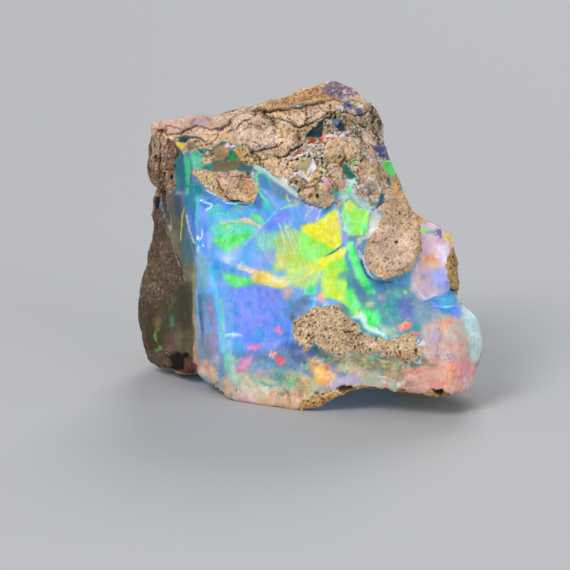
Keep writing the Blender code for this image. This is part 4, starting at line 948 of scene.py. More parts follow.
# The ribs below the left ridge.
RIBS: Marks = (
    Band(Hue.MOSS_GREY, 0.24, path(-12.2, 14.3, -12.1, 12.9, -12.1, 10.2), 1),
    Band(Hue.BEIGE_WARM, 0.34, path(-12.1, 10, -11.9, 8.6, -11.9, 5.8, -11.8, 4.8), 1, 0.85),
    Streak(Hue.SALMON_DULL, 0.22, path(-12.1, 7, -11.9, 4.6), 0.8, 0.9),
    Band(Hue.SLATE_BLUE, 0.3, path(-11.5, 12.1, -11.2, 7.2), 1, 0.9),
    Band(Hue.PURPLE_DUSK, 0.16, path(-11.5, 10.4, -11.3, 7.8), 0.8, 0.9),
    Shard(Hue.STEEL, path(-11.3, 12.1, -10.3, 12.3, -9.9, 10.4, -9.9, 9, -10.7, 8.6), 0.9, 0.8),
    Blot(Hue.MAUVE, -10.5, 11.1, 0.37, 0.55, 0, 0.9, 0.8),
    Band(Hue.MAUVE, 0.22, path(-10.1, 10.4, -9.9, 9, -9.6, 6.2), 0.9, 0.9),
    Shard(Hue.GREY_SLATE, path(-11.3, 8.2, -10.2, 8.6, -9.9, 6.4, -10.5, 5.8, -11.2, 6.2), 0.9),
    Blot(Hue.MAUVE_GREY, -10.1, 5.4, 0.71, 0.81, 0, 1, 0.6),
    Blot(Hue.SALMON, -11, 5.1, 0.81, 0.81, 0, 1),
    Blot(Hue.SALMON, -10.2, 4.4, 0.51, 0.34, -30),
    Band(Hue.SEAFOAM, 0.26, path(-9.4, 11.7, -9.2, 9.6, -9.1, 7.6), 0.85, 0.9),
    Blot(Hue.MAUVE, -10.3, 7.2, 0.51, 1.52, 0, 1, 0.65),
    Blot(Hue.ORCHID, -10.5, 10.4, 0.41, 0.81, 0, 1, 0.4),
    Blot(Hue.VIOLET_GREY, -11, 8.6, 0.41, 2.23, 0, 1, 0.5),
    Blot(Hue.STEEL_TEAL, -11.4, 11.3, 0.41, 2.23, 0, 1, 0.55),
)

# The block of host rock at the left, on the shadow side: its colours are darkened as painted shade.
BACK_LEFT: Marks = (
    Shard(Hue.BROWN, path(-17.6, 22, -15.8, 22, -13.1, 13.3, -13.9, 12.9, -14.8, 11.7, -17.6, 11.1), 1, 0.09),
    Blot(Hue.UMBER, -15.3, 18.3, 0.41, 0.81, 0, 1, 0.6),
    Blot(Hue.MAUVE_TAN, -16, 14.9, 0.51, 0.71, 0, 1, 0.6),
    Blot(Hue.MAUVE_TAN, -15.6, 12.5, 0.91, 0.71, 0, 1, 0.55),
    Streak(Hue.UMBER, 0.16, path(-13.9, 16.7, -13.5, 15.3, -13.3, 13.5), 0.8, 0.9),
    # painted shade: near black where the side turns away from the light
    Shard(Hue.MIDNIGHT, path(-17, 24.2, -16.4, 24, -15.6, 22, -15.6, 21.2, -16.4, 20.5, -17, 20.5), 0.95, 0.16),
    Band(Hue.BROWN, 0.2, path(-17.3, 11.1, -17.2, 9.6, -17.3, 8.2, -17, 6.6), 0.8, 1),
    Blot(Hue.MAUVE_TAN, -15.2, 16.3, 0.91, 0.91, -10, 1, 0.7),
    Blot(Hue.MAUVE_TAN, -15.7, 12.4, 0.91, 0.81, 0, 1, 0.5),
    Scatter(-15.8, 15.5, 1.6, 5.7, 8, 90, 0.12, 0.47, 0.5, 70, 0.4,
            (Hue.MAUVE_TAN, Hue.TAN_PINK, Hue.GREY_BROWN, Hue.UMBER, Hue.BLOCK_BROWN, Hue.RUST)),
)

# The foot of that block, on the shadow side, with painted shade in its hollow.
FOOT: Marks = (
    Shard(Hue.BROWN, path(-17.8, 6.2, -15, 6.6, -13.9, 6.5, -12.9, 5.9, -12.1, 5.1, -12.1, 2.9, -16.6, 2.9,
        -18, 4.8), 1, 0.51),
    Blot(Hue.GREY_BROWN, -15.8, 5.4, 0.91, 0.71, 0, 1, 0.7),
    # painted shade: the hollow in the foot, near black
    Shard(Hue.HOLLOW_SHADE, path(-14.8, 5.9, -14.1, 6.3, -13.5, 6.1, -12.8, 6.3, -12.8, 5.5, -13.2, 5.1, -13.1, 3.8,
        -14.3, 3.8), 0.95, 0.3),
    Shard(Hue.RUST_DARK, path(-13.3, 5.6, -12.5, 5.9, -11.8, 4.8, -12.1, 3.5, -13.3, 3.5), 0.9, 0.41),
)

# The cap of host rock along the top.
CAP: Marks = (
    Shard(Hue.TAN, path(-17.6, 29.3, -15.6, 30.7, -12.5, 31.1, 3.2, 34.6, 6.3, 33.6, 8.2, 30.9, 8, 27.3,
        7.1, 26.9, 6.4, 27.1, 5.1, 26.9, 3.8, 28.7, 2.4, 29.3, 0.7, 29.1, -0.4, 28.5, -2.4, 26.3, -3.8, 26.2,
        -5.2, 26.7, -6.4, 26.5, -7.1, 27.2, -9.3, 27.8, -10.2, 26.9, -11.2, 27, -13, 26.3, -13.7, 27.1,
        -14.1, 25.9, -14.2, 24.6, -13.9, 23.2, -14.6, 22.6, -15.8, 22.2, -16.8, 22.2, -17.6, 26.9), 1, 0.08),
    Shard(Hue.BAND_TAN, path(-7.9, 25.9, -6.4, 26.9, -4.4, 26.4, -2.4, 26.3, -1.4, 27.3, -0.2, 29.1, 3.2, 31.9,
        5.9, 31.9, 8, 27.9, 8.6, 25.9, 8.6, 24, 7.6, 22.8, 6.9, 20.8, 6.3, 21.2, 5.7, 22, 5.3, 23.4, 4.5, 23.8,
        3.7, 23.8, 3.1, 24.2, 2.5, 22.6, 1.7, 21.8, 0.5, 21.2, -1.4, 22, -2, 23, -3.2, 23.8), 1, 0.16),
    Shard(Hue.RIDGE_PINK, path(-16.4, 28.8, -15.6, 29.7, -13.5, 30.3, -10.1, 30.5, -9.3, 29.9, -10.1, 29.1,
        -11.7, 29.1, -13.7, 28.4, -16.2, 28.5), 0.95, 0.2),
    Shard(Hue.LILAC_ROCK, path(-12.5, 30.1, -10.9, 30.1, -10.7, 29.3, -12.3, 29.1), 0.7, 0.2),
    Blot(Hue.RUST, -15.5, 28.8, 0.59, 0.25, -6, 0.6, 0.8),
    Streak(Hue.UMBER_RED, 0.06, path(-15, 29.4, -14.1, 29.2, -12.9, 28.8), 0.8, 0.7),
    Streak(Hue.UMBER_RED, 0.15, path(-15, 28.4, -13.5, 28.6, -11.9, 29.3, -10.9, 29.2, -10.1, 28.9), 0.95),
    Streak(Hue.PLUM_BROWN, 0.3, path(-10.3, 28.9, -9.3, 29, -8.6, 29.5, -8.2, 30.1), 0.95, 0.9),
    Shard(Hue.PINK_TAN, path(-10.1, 30.1, -8.3, 30.8, -6.8, 30.7, -9.7, 29.5), 0.8, 0.2),
    Shard(Hue.BLOCK_BROWN, path(-17.4, 28.1, -16.4, 28.3, -13.9, 27.7, -13.6, 26.9, -14.1, 25.9, -14.2, 24.4,
        -13.9, 23, -14.8, 22.4, -17.4, 22.2), 1, 0.2),
    Band(Hue.UMBER, 0.3, path(-16.8, 27.9, -16.8, 25.9, -16.6, 22.2), 0.8, 1),
    Blot(Hue.UMBER_RED, -15, 27.8, 0.91, 0.34, -5, 0.9, 0.85),
    Blot(Hue.CREAM_ROCK, -14.7, 28.2, 0.55, 0.24, -10, 0.6),
    Streak(Hue.UMBER_DARK, 0.16, path(-14.1, 27.3, -13.8, 26.7, -14, 25.9), 0.95),
    Shard(Hue.PINK_TAN, path(-13.1, 28.4, -12.3, 28.9, -11.5, 29, -10.1, 28.9, -11.5, 28.4, -12, 28,
        -12.8, 28.1), 0.95, 0.12),
    Streak(Hue.UMBER_RED, 0.09, path(-11.6, 27.2, -10.9, 27.4, -10.2, 27.7, -9.7, 28.2, -9.6, 28.5), 0.95),
    Shard(Hue.GREY_LILAC_ROCK, path(-8.3, 30.2, -7, 30.8, -5.8, 30.7, -4.6, 30.2, -3.9, 29.1, -3.9, 27.9,
        -4.6, 27, -5.8, 26.8, -7, 27, -7.9, 27.6, -8.4, 28.6), 0.9, 0.16),
    Shard(Hue.PINK_TAN, path(-8.1, 30, -7, 30.6, -5.8, 30.5, -4.8, 30.1, -4.1, 29.1, -4.2, 27.9, -4.8, 27.2,
        -5.8, 27, -6.8, 27.2, -7.7, 27.7, -8.2, 28.6), 1, 0.2),
    Blot(Hue.PINK_CLAST_LIGHT, -6, 29.1, 1.22, 1.12, 0, 1, 0.7),
    Shard(Hue.YELLOW_TAN, path(-4.6, 30.7, 0.5, 31.5, -0.2, 29.7, -1, 28.7, -2.2, 27.7, -3.8, 27.3,
        -4, 29.1), 0.9, 0.3),
    Shard(Hue.PINK_TAN, path(-4.2, 28.7, -2.2, 28.7, -2.2, 27.3, -3.8, 27.1), 0.7, 0.3),
    Streak(Hue.HOLLOW_SHADE, 0.09, path(-1.4, 29.1, -0.9, 29.3, -0.2, 29.4), 0.95),
    Blot(Hue.UMBER, -1.5, 28.1, 0.45, 0.61, 20, 1, 0.75),
    Streak(Hue.BLACK_TEAL_ROCK, 0.19, path(-4.1, 26.4, -3.5, 26.2, -2.8, 26.2, -2.4, 26.7, -1.8, 27.1,
        -1.2, 27.5), 1, 0.75),
    Shard(Hue.CREST_TAN, path(-5.6, 30.8, -4.4, 31.8, 0.2, 33.3, 1.3, 33.2, 2.5, 32.7, 2.9, 32,
        -3.8, 30.6), 1, 0.14),
    Blot(Hue.OCHRE, 0.3, 32.1, 1.62, 0.34, 12, 1, 0.8),
    Blot(Hue.GREY_OCHRE, -6, 31.1, 0.99, 0.4, 1, 0.4, 0.6),
    Streak(Hue.HOLLOW_SHADE, 0.12, path(-4.4, 30.7, -3.4, 30.8, -1.1, 31.2, -0.1, 31.6, 2.1, 32, 3.2, 31.9), 1, 0.7),
    Shard(Hue.POTCH, path(0.7, 33.1, 2, 34.1, 3.1, 34, 3.9, 33.4, 4, 32.7, 3.5, 32.1, 2.5, 32.1,
        1.1, 32.7), 1, 0.16),
    Blot(Hue.CREAM_ROCK, 4.5, 31.4, 0.63, 0.42, -7, 0.4, 0.8),
    Shard(Hue.VEIN_INDIGO, path(3, 31.8, 3.7, 31.8, 4, 31.2, 5, 30.9, 4.9, 30.2, 4.1, 30.3,
        3.1, 31.2), 1, 0.12),
    Blot(Hue.OLIVE_UMBER, 6, 29.3, 0.39, 0.67, 20, 0.9, 0.8),
    Blot(Hue.TEAL_DEEP_VEIN, 2.6, 29.4, 0.95, 0.46, -45, 0.3, 1),
    Streak(Hue.UMBER_DARK, 0.1, path(-15.9, 26.9, -15.6, 25.7, -15.8, 24.4, -15.5, 23.2)),
    Streak(Hue.LILAC_GLINT, 0.07, path(1.3, 33.6, 1.9, 33.9, 2.6, 33.8), 0.8),
    Shard(Hue.PINK_TAN, path(-3.8, 30, -2.2, 30.5, -0.8, 30.7, -1, 29.9, -2.2, 29.3, -3.4, 29.2), 0.8, 0.14),
    Shard(Hue.PINK_TAN, path(-0.6, 30.7, 0.7, 31.2, 1.5, 31, 0.9, 30.2, -0.2, 29.8), 0.8, 0.16),
    Streak(Hue.HOLLOW_SHADE, 0.07, path(-5.2, 30.9, -4.8, 30.3, -4.1, 29.8, -3.8, 29.1), 0.85),
    Streak(Hue.UMBER_DARK, 0.06, path(-3, 30.7, -2.6, 30.1, -1.4, 29.2), 0.8),
    Streak(Hue.UMBER_DARK, 0.06, path(0.5, 31.5, 0.9, 30.9, 1.7, 30.6, 2.7, 30.7), 0.8),
    Streak(Hue.UMBER_DARK, 0.06, path(3.9, 31.5, 4.5, 31.1, 5.3, 31.1, 6.1, 30.5), 0.8),
    Streak(Hue.GLINT_ROCK, 0.06, path(4.7, 31.5, 5.3, 30.9, 5.5, 30.1), 0.8),
)

# The veined rock between the cap and the opal face.
VEINED_BAND: Marks = (
    Shard(Hue.PALE_STONE, path(3.3, 26.1, 5.9, 26.9, 8, 25, 8, 21.2, 5.9, 21.2, 3.7, 22.8), 0.55, 0.61),
    Blot(Hue.GREY_OLIVE, 5.3, 27.9, 2.23, 0.81, -20, 1, 0.5),
    Shard(Hue.TAN_WARM, path(-4.8, 26.1, -2.4, 26.1, -1.6, 25.7, -2, 24, -3, 24, -4.4, 24.4,
        -5.1, 25.2), 0.9, 0.16),
    Shard(Hue.OLIVE_MILK, path(-1.5, 26.2, -0.1, 26.2, 0.2, 25, -0.6, 24.4, -1.5, 24.7), 0.9, 0.16),
    Shard(Hue.TAN_GREY, path(-1.1, 27.4, 0.9, 27.5, 0.9, 26.6, 0.1, 26.5, -1.1, 26.6, -2, 26.2,
        -2.4, 26.3), 0.9, 0.16),
    Blot(Hue.RUST_RED, -1.6, 26.6, 0.86, 0.19, 42, 0.7, 1),
    Blot(Hue.RUST_RED, -0.3, 27.8, 0.71, 0.28, 5, 0.4, 1),
    Blot(Hue.RED, 1, 28, 0.43, 0.23, 41, 0.4, 1),
    Streak(Hue.WHITE_LILAC, 0.1, path(-1.1, 27.5, -0.3, 27.4, 0.6, 27.5)),
    Band(Hue.PINK_LILAC, 0.2, path(1.3, 28.2, 1.8, 28.4, 2.4, 28.4, 3, 28.6, 3.6, 28.7), 0.95),
    Blot(Hue.PINK_LILAC, 1.3, 23.7, 0.93, 0.41, -50, 0.5),
    Shard(Hue.MINT_MILK, path(2.8, 23.8, 4.3, 24.2, 5.3, 23.6, 5.9, 20.4, 5.1, 20.6, 3.7, 22.2, 2.7, 21.2,
        2.5, 22.2), 0.95, 0.41),
    Shard(Hue.SEAFOAM_DARK, path(4.3, 23.2, 5.3, 22.8, 5.5, 21.4, 4.7, 21.4), 0.5, 0.3),
    Blot(Hue.GREEN_BOTTLE2, 3.6, 24.6, 1.14, 0.4, -49, 0.3, 1),
    Blot(Hue.GREEN_BOTTLE, 5, 26, 0.3, 0.37, 0, 0.9, 0.85),
    Blot(Hue.SPRING, 3.8, 22.9, 0.56, 0.25, 58, 0.6),
    Shard(Hue.LIME_GREEN, path(3.1, 21.6, 3.8, 21.9, 4.7, 20.9, 5.5, 20.7, 5.7, 20.3, 5.5, 18.8, 5, 18.2,
        3.5, 18.2, 3, 18.8, 2.9, 20.6), 1, 0.22),
    Blot(Hue.YELLOW, 3.7, 21.1, 0.63, 0.47, -83, 0.5),
    Shard(Hue.MINT_PALE, path(2.9, 20.4, 3.6, 20.4, 4.1, 18.4, 3.5, 18.2, 3, 18.8), 0.85, 0.26),
    Blot(Hue.SPRING, 5.1, 19, 0.52, 0.4, 75, 0.5, 0.75),
    Shard(Hue.GLINT_ROCK, path(5.7, 20.4, 6.3, 20.7, 6.9, 20.2, 6.8, 19.3, 6.4, 18.6, 5.6, 17.9, 4.9, 17.7,
        4.3, 17, 5.1, 15.7, 4.5, 16.1, 4.3, 17.9, 5.1, 18.1, 5.6, 19), 1, 0.2),
    Band(Hue.MILK_MINT, 0.34, path(-5.9, 25.1, -5.2, 24.9, -4.4, 24.3, -3.5, 23.6, -1.7, 22.3), 1),
    Blot(Hue.FROST_WARM, -3, 23.5, 0.77, 0.43, -50, 0.5, 0.8),
    Streak(Hue.YELLOW_AMBER, 0.14, path(-2.7, 22.3, -2.6, 21.8, -2.3, 21.6)),
    Blot(Hue.LOBE_SALMON, -1.7, 21.6, 0.43, 0.3, -15),
    Streak(Hue.LIME, 0.13, path(-3.3, 20.9, -2.6, 21.2, -1.6, 21.3), 0.95),
    Band(Hue.MINT_GREEN, 0.19, path(-5.8, 24, -5.7, 23, -5.2, 22.2, -4.6, 21.6), 0.95, 0.85),
    Band(Hue.MINT_GREEN, 0.22, path(-6, 24.1, -5.7, 24.6, -5.2, 24.6, -4.7, 24.2, -4.5, 23.4), 0.95, 0.85),
    Shard(Hue.BLUE_CYAN, path(-5.6, 24.2, -4.9, 24.3, -4.5, 23.7, -4.3, 22.8, -4.8, 22.8,
        -5.4, 23.2), 0.95, 0.24),
    Blot(Hue.WHITE_LILAC, -6.2, 24.3, 0.63, 0.22, -89, 0.9, 0.95),
    Shard(Hue.IRIS_PALE, path(-1.2, 21, -0.8, 21.3, 0.5, 21.1, 0.7, 20.5, 0.6, 19.7, -0.2, 19.4,
        -1, 19.8), 0.95, 0.24),
    Streak(Hue.WHITE_LILAC, 0.09, path(-0.8, 21.2, -0.1, 21.1, 0.6, 20.9, 0.6, 20.3, 0.3, 19.7), 0.95),
    Streak(Hue.WHITE_LILAC, 0.08, path(-0.8, 20.1, -0.5, 20.7, -0.1, 20.9), 0.8),
    Blot(Hue.TEAL_BLUE, 1.4, 20.8, 0.86, 0.35, 24, 0.5, 0.95),
    Blot(Hue.TAN_GREY, 2.6, 21.4, 0.5, 0.42, 65, 0.5),
    Streak(Hue.WHITE_LILAC, 0.12, path(-2.4, 23.9, -1.8, 24.6, -1.2, 24.7, -0.5, 24), 1, 0.75),
    Band(Hue.WHITE_LILAC, 0.15, path(-2.6, 26.1, -2.1, 26, -1.5, 26.3, -1, 26.6, -0.3, 26.6, 0, 26.2,
        -0.1, 25.5, -0.5, 24.7, -0.7, 24), 1),
    Blot(Hue.WHITE_LILAC, 0, 25.1, 0.88, 0.33, 73, 0.5, 0.95),
    Blot(Hue.WHITE_MINT, 6.5, 20.7, 0.2, 0.26, 20, 0.8),
    Streak(Hue.HOLLOW_SHADE, 0.08, path(-6.2, 30.9, -4.7, 30.8, -2.2, 31.3), 0.95),
    Blot(Hue.BLUE_GREY_VEIN, 2.3, 29.7, 0.41, 0.31, 22, 0.3),
    Shard(Hue.TEAL_DEEP_VEIN, path(-0.9, 28.1, -0.5, 28.8, 0.3, 29.3, 1.4, 30.6, 1, 29.7, 0.8, 28.2), 1, 0.08),
    Blot(Hue.PINK_LILAC, 2.6, 28.3, 1.2, 0.2, 9, 0.4, 0.95),
    Blot(Hue.GREEN_BOTTLE2, 3.4, 24.7, 0.98, 0.32, -67, 0.3, 0.95),
    Blot(Hue.WHITE_MINT, 3.9, 23.7, 0.52, 0.21, 1, 0.3),
    Blot(Hue.UMBER, 6.7, 29.5, 0.28, 0.61, 15, 0.9, 0.8),
    Blot(Hue.TAN, 4, 30.5, 0.98, 0.43, -43, 0.3, 0.95),
    Shard(Hue.PINK_TAN, path(4.9, 28.7, 5.9, 28.9, 6.5, 28.1, 6.3, 27.3, 5.3, 27.5), 0.9, 0.08),
    Blot(Hue.PINK_TAN, 7, 28.4, 0.73, 0.43, -73, 0.3, 0.85),
    Shard(Hue.TAN_WARM, path(-3, 25.9, -1.8, 26.1, -1.6, 25, -2.4, 24.4, -3.2, 24.8), 0.9, 0.08),
    Blot(Hue.TAN, -4.2, 25.3, 0.75, 0.54, -23, 0.3),
)

# The green lenses under the cap.
PALE_GREEN_LENSES: Marks = (
    Shard(Hue.TAN_GREEN, path(-8.1, 27.3, -7, 27.2, -6.2, 26.6, -5.2, 26.6, -4.7, 26.1, -5.8, 25.5, -6.8, 25.5,
        -7.4, 25.9), 0.95, 0.12),
    Shard(Hue.OLIVE_LENS, path(-10.3, 24.6, -10.2, 25.4, -9.5, 25.7, -8.8, 25.8, -7, 25.7, -7.5, 25.1,
        -8.3, 24.8), 1, 0.12),
    Shard(Hue.AMBER_GLASS, path(-10.2, 26.7, -9.7, 27.2, -9.1, 27.4, -8.5, 27, -8.6, 26.4, -9.3, 25.9,
        -10.2, 25.7, -10.5, 26.1), 1, 0.18),
    Blot(Hue.EMERALD_BRIGHT, -8.2, 26.2, 0.63, 0.46, -14, 0.3, 1),
    Streak(Hue.ORANGE_HOT, 0.15, path(-8, 27, -6.9, 26), 1, 0.75),
    Blot(Hue.PINK_LILAC, -8.8, 27.3, 0.35, 0.28, -7, 0.4, 0.95),
    Streak(Hue.WHITE_MINT, 0.1, path(-8.5, 27.1, -8.1, 27.3, -7.8, 27.2)),
    Blot(Hue.TEAL_DEEP_VEIN, -13.2, 27.9, 0.74, 0.3, 6, 0.5, 0.95),
    Blot(Hue.GOLD_BRIGHT, -13.4, 27.3, 0.42, 0.3, -49, 0.3, 1),
    Blot(Hue.BROWN_GLASS, -12.4, 27.3, 0.54, 0.43, 0, 0.3, 0.85),
    Blot(Hue.SLATE_BLUE, -12.8, 26.6, 0.42, 0.33, 77, 0.5, 0.95),
    Blot(Hue.NAVY_TEAL, -11.4, 26.7, 0.51, 0.16, -13, 0.8),
    Shard(Hue.SEA_GREEN, path(-13.2, 26.3, -12.6, 26.2, -12.5, 24.8, -12.6, 23.4, -13, 23.4), 0.95, 0.16),
    Shard(Hue.MINT_SEA, path(-12.5, 26.6, -11.9, 26.8, -11.2, 26.5, -11, 25.7, -11.1, 24.9, -12.1, 24.9,
        -12.4, 25.2), 1, 0.2),
    Blot(Hue.DARK_TEAL2, -10.8, 25.1, 0.66, 0.35, -9, 0.6, 0.95),
    Shard(Hue.DARK_TEAL2, path(-14.1, 25, -13.3, 25.5, -13.1, 23.2, -13.9, 22.8), 0.85, 0.2),
)

# The clasts of host rock under the cap.
CLASTS: Marks = (
    Shard(Hue.TAN_WARM, path(-11.4, 25.4, -11.2, 26.4, -10.7, 26.8, -10.1, 26.7, -10, 26.1,
        -10.5, 25.4), 1, 0.07),
    Shard(Hue.TAN, path(-12.3, 24.6, -12.2, 24.9, -10.9, 24.8, -10.2, 24.6, -7.7, 24.8, -6.7, 24.5, -5.6, 23.4,
        -5.7, 22.5, -6, 21.6, -6.5, 21.4, -9.1, 21.8, -10.7, 22.8), 1, 0.07),
    Shard(Hue.TAN_GREEN, path(-11.7, 24.4, -10.1, 24.4, -9.9, 23.4, -9.3, 22.2, -10.5, 22.8,
        -11.5, 23.6), 0.75, 0.24),
    Blot(Hue.TAN_PINK, -8.3, 23.9, 1.22, 0.61, -10, 1, 0.8),
    Streak(Hue.UMBER_DARK, 0.14, path(-9.9, 24, -9.2, 22.6)),
    Shard(Hue.CREST_TAN, path(-7.5, 24.2, -6, 23.6, -5.8, 22.4, -6.4, 21.8, -7.5, 22.6), 0.7, 0.2),
    Streak(Hue.HOLLOW_SHADE, 0.14, path(-8.9, 22.1, -8.4, 21.7, -7, 21.6), 1),
    Shard(Hue.TAN, path(0.9, 26.9, 1.5, 28, 2.1, 28.2, 4.3, 28.1, 4.9, 27.6, 4.8, 26.9, 4.2, 26.2, 3.2, 25.7,
        2.1, 25.7, 1.3, 26.2), 1, 0.07),
    Shard(Hue.TAN, path(-1.3, 22.2, -1.2, 23, -0.6, 23.7, 0.3, 23.9, 1.1, 23.6, 2.2, 22.2, 2.1, 21.6, 1.3, 21,
        0.1, 21.3, -1.1, 21.8), 1, 0.07),
    Shard(Hue.PINK_TAN, path(0.5, 23, 1.7, 22.4, 2, 21.7, 1.1, 21.3, 0.3, 22), 0.6, 0.2),
    Blot(Hue.OCHRE_DARK, -0.3, 22.2, 0.41, 0.22, 88, 0.5, 0.95),
    Blot(Hue.HOLLOW_SHADE, 0.4, 22.2, 0.2, 0.26, 10, 0.6, 1),
    Shard(Hue.TAN, path(1.2, 25.5, 1.9, 25.9, 2.7, 25.7, 3.3, 23.2, 3, 22.9, 2.5, 22.9, 2.2, 23.5,
        1.5, 23.9), 1, 0.07),
    Shard(Hue.TAN, path(4.3, 25.2, 5.1, 25.9, 6.3, 25.9, 7.1, 25.4, 7.3, 23.6, 7, 22.6, 6.5, 22, 6.1, 22.2,
        5.7, 21.6, 4.3, 22.2, 4.6, 24.2), 1, 0.07),
    Blot(Hue.PINK_BROWN, 4.9, 24.7, 0.65, 0.37, -72, 0.3, 0.95),
    Blot(Hue.OLIVE_TAN, 6.2, 25.2, 0.57, 0.34, -12, 0.5, 0.7),
    Band(Hue.SLATE_LENS, 0.26, path(5, 23.6, 5.8, 22.6), 1, 0.75),
    Blot(Hue.SAGE_DARK, 5.9, 21.6, 0.48, 0.33, -58, 0.4),
    Blot(Hue.TEAL_VEIN, 6.8, 21.7, 0.85, 0.29, 63, 0.3, 1),
    Shard(Hue.VEIN_INDIGO, path(6.2, 27.1, 6.8, 27.4, 7.6, 27.2, 8.1, 26.7, 8.3, 26.1, 7.6, 26, 6.7, 26.1,
        6.3, 26.6), 1, 0.07),
    Shard(Hue.GREEN_GEM, path(6.8, 25.7, 7.8, 25.7, 8.5, 25.5, 8.5, 24.7, 8.2, 24, 7.7, 24.3), 1, 0.1),
    Streak(Hue.WHITE_LILAC, 0.08, path(5.2, 26.4, 6, 25.9, 6.9, 25.7, 8.1, 25.7), 0.95),
    Blot(Hue.TAN, 5.9, 26.6, 0.69, 0.42, -79, 0.3),
    Blot(Hue.OLIVE_TAN, 2.6, 26, 1.46, 0.34, 0, 0.3, 0.8),
    Streak(Hue.UMBER_DARK, 0.07, path(1, 26.1, 2, 25.6, 3.3, 25.6, 4.3, 26.1), 0.8),
    Streak(Hue.UMBER_DARK, 0.06, path(-1.2, 22.8, -0.7, 23.6, 0.3, 23.8), 0.7),
    Streak(Hue.UMBER_DARK, 0.07, path(-1.1, 21.7, -0.2, 21.2, 1.3, 20.9, 2.1, 21.5), 0.8),
    Streak(Hue.UMBER_DARK, 0.07, path(1.3, 25.4, 1.5, 24.4, 2.1, 23.7, 2.4, 23), 0.7),
    Streak(Hue.UMBER_DARK, 0.07, path(4.4, 23.1, 4.7, 24, 4.4, 24.8), 0.7),
)

# The lobe of host rock at the right.
HOST_LOBE: Marks = (
    Shard(Hue.TAN, path(7.1, 22.6, 7.7, 23.8, 8, 24.2, 8.6, 24.2, 10, 22.6, 11.8, 19.6, 10.9, 19.4, 11, 16.7,
        9.9, 14.7, 9, 14.2, 7.1, 13.7, 6.3, 14.1, 5.5, 14.9, 5.1, 16.1, 5.5, 17.8, 6.3, 18.7, 6.8, 19.6,
        7, 20.4, 6.6, 20.7, 6.7, 21.2, 7.5, 21.9), 1, 0.09),
    Shard(Hue.OCHRE, path(7.8, 23.4, 8.6, 24, 10, 22.4, 11.4, 20, 10.6, 19.6, 9.2, 21.6, 8.2, 22.4), 0.75, 0.3),
    Shard(Hue.PINK_TAN, path(6.7, 19.2, 8.6, 19.2, 10.2, 18.4, 10.4, 16.3, 8.8, 14.7, 7.1, 15.1,
        5.9, 16.5), 0.8, 0.41),
    Blot(Hue.MAUVE_TAN, 10.6, 18.8, 0.41, 0.51, 0, 1, 0.6),
    Blot(Hue.HOLLOW_SHADE, 8.4, 17.6, 0.2, 0.17, 0, 0.7, 0.95),
)

# The crumbly edge far right.
CRUMBLY_EDGE: Marks = (
    Shard(Hue.GOLD_ROCK, path(14, 16.8, 14.3, 17.1, 15.5, 15.9, 15.7, 11.9, 14.9, 11.3, 13.5, 13.9,
        13.5, 15.5), 1, 0.09),
    Streak(Hue.HOLLOW_SHADE, 0.16, path(13.9, 12.8, 14.2, 12.6, 14.8, 12.6), 0.95),
)

# The spongy clast of host rock low on the face.
SPONGE: Marks = (
    Shard(Hue.TAN_GOLD, path(-2.2, 9, -2.1, 9.5, 0.1, 11, 1.3, 11.2, 2.5, 11.1, 3.9, 9.9, 4.9, 8.4, 7.4, 7.6,
        9.4, 8.3, 10.2, 8.2, 11.2, 6.8, 10.8, 5.9, 10.2, 5.5, 9.2, 5.3, 8, 6.1, 6.9, 6.4, 5.1, 6.2, 3.9, 6.4,
        2.9, 6, 0.7, 6.8, 0.1, 7.4, -0.4, 6.6, -1, 6.4, -1.2, 7.1, -2.1, 7.8), 1, 0.09),
    Blot(Hue.GREY_OLIVE, 2.5, 10.7, 0.81, 0.26, -15, 0.9, 0.7),
    Blot(Hue.TAN_WARM, 0.7, 9.4, 1.62, 0.91, -10, 1, 0.6),
    Blot(Hue.PINK_TAN, 5.5, 7.2, 1.42, 0.51, -10, 1, 0.8),
    Blot(Hue.CREAM_ROCK, 9.2, 6.9, 1.01, 0.61, 0, 1, 0.6),
    Blot(Hue.UMBER_DARK, -0.1, 7.8, 0.34, 0.24, 20, 0.8, 0.8),
    Streak(Hue.HOLLOW_SHADE, 0.11, path(3.2, 8.3, 4.3, 8.6), 0.95),
    Blot(Hue.HOLLOW_SHADE, 10.4, 6.5, 0.23, 0.45, 0, 0.7, 1),
    Streak(Hue.RUST_RED, 0.16, path(8.1, 6.4, 8.6, 5.9, 9.1, 5.6)),
    Blot(Hue.GREY_OLIVE, 5.3, 6.4, 1.01, 0.24, 0, 1, 0.6),
    Blot(Hue.GLINT_BLUE, 11, 7.4, 0.39, 0.25, 34, 0.3, 1),
)
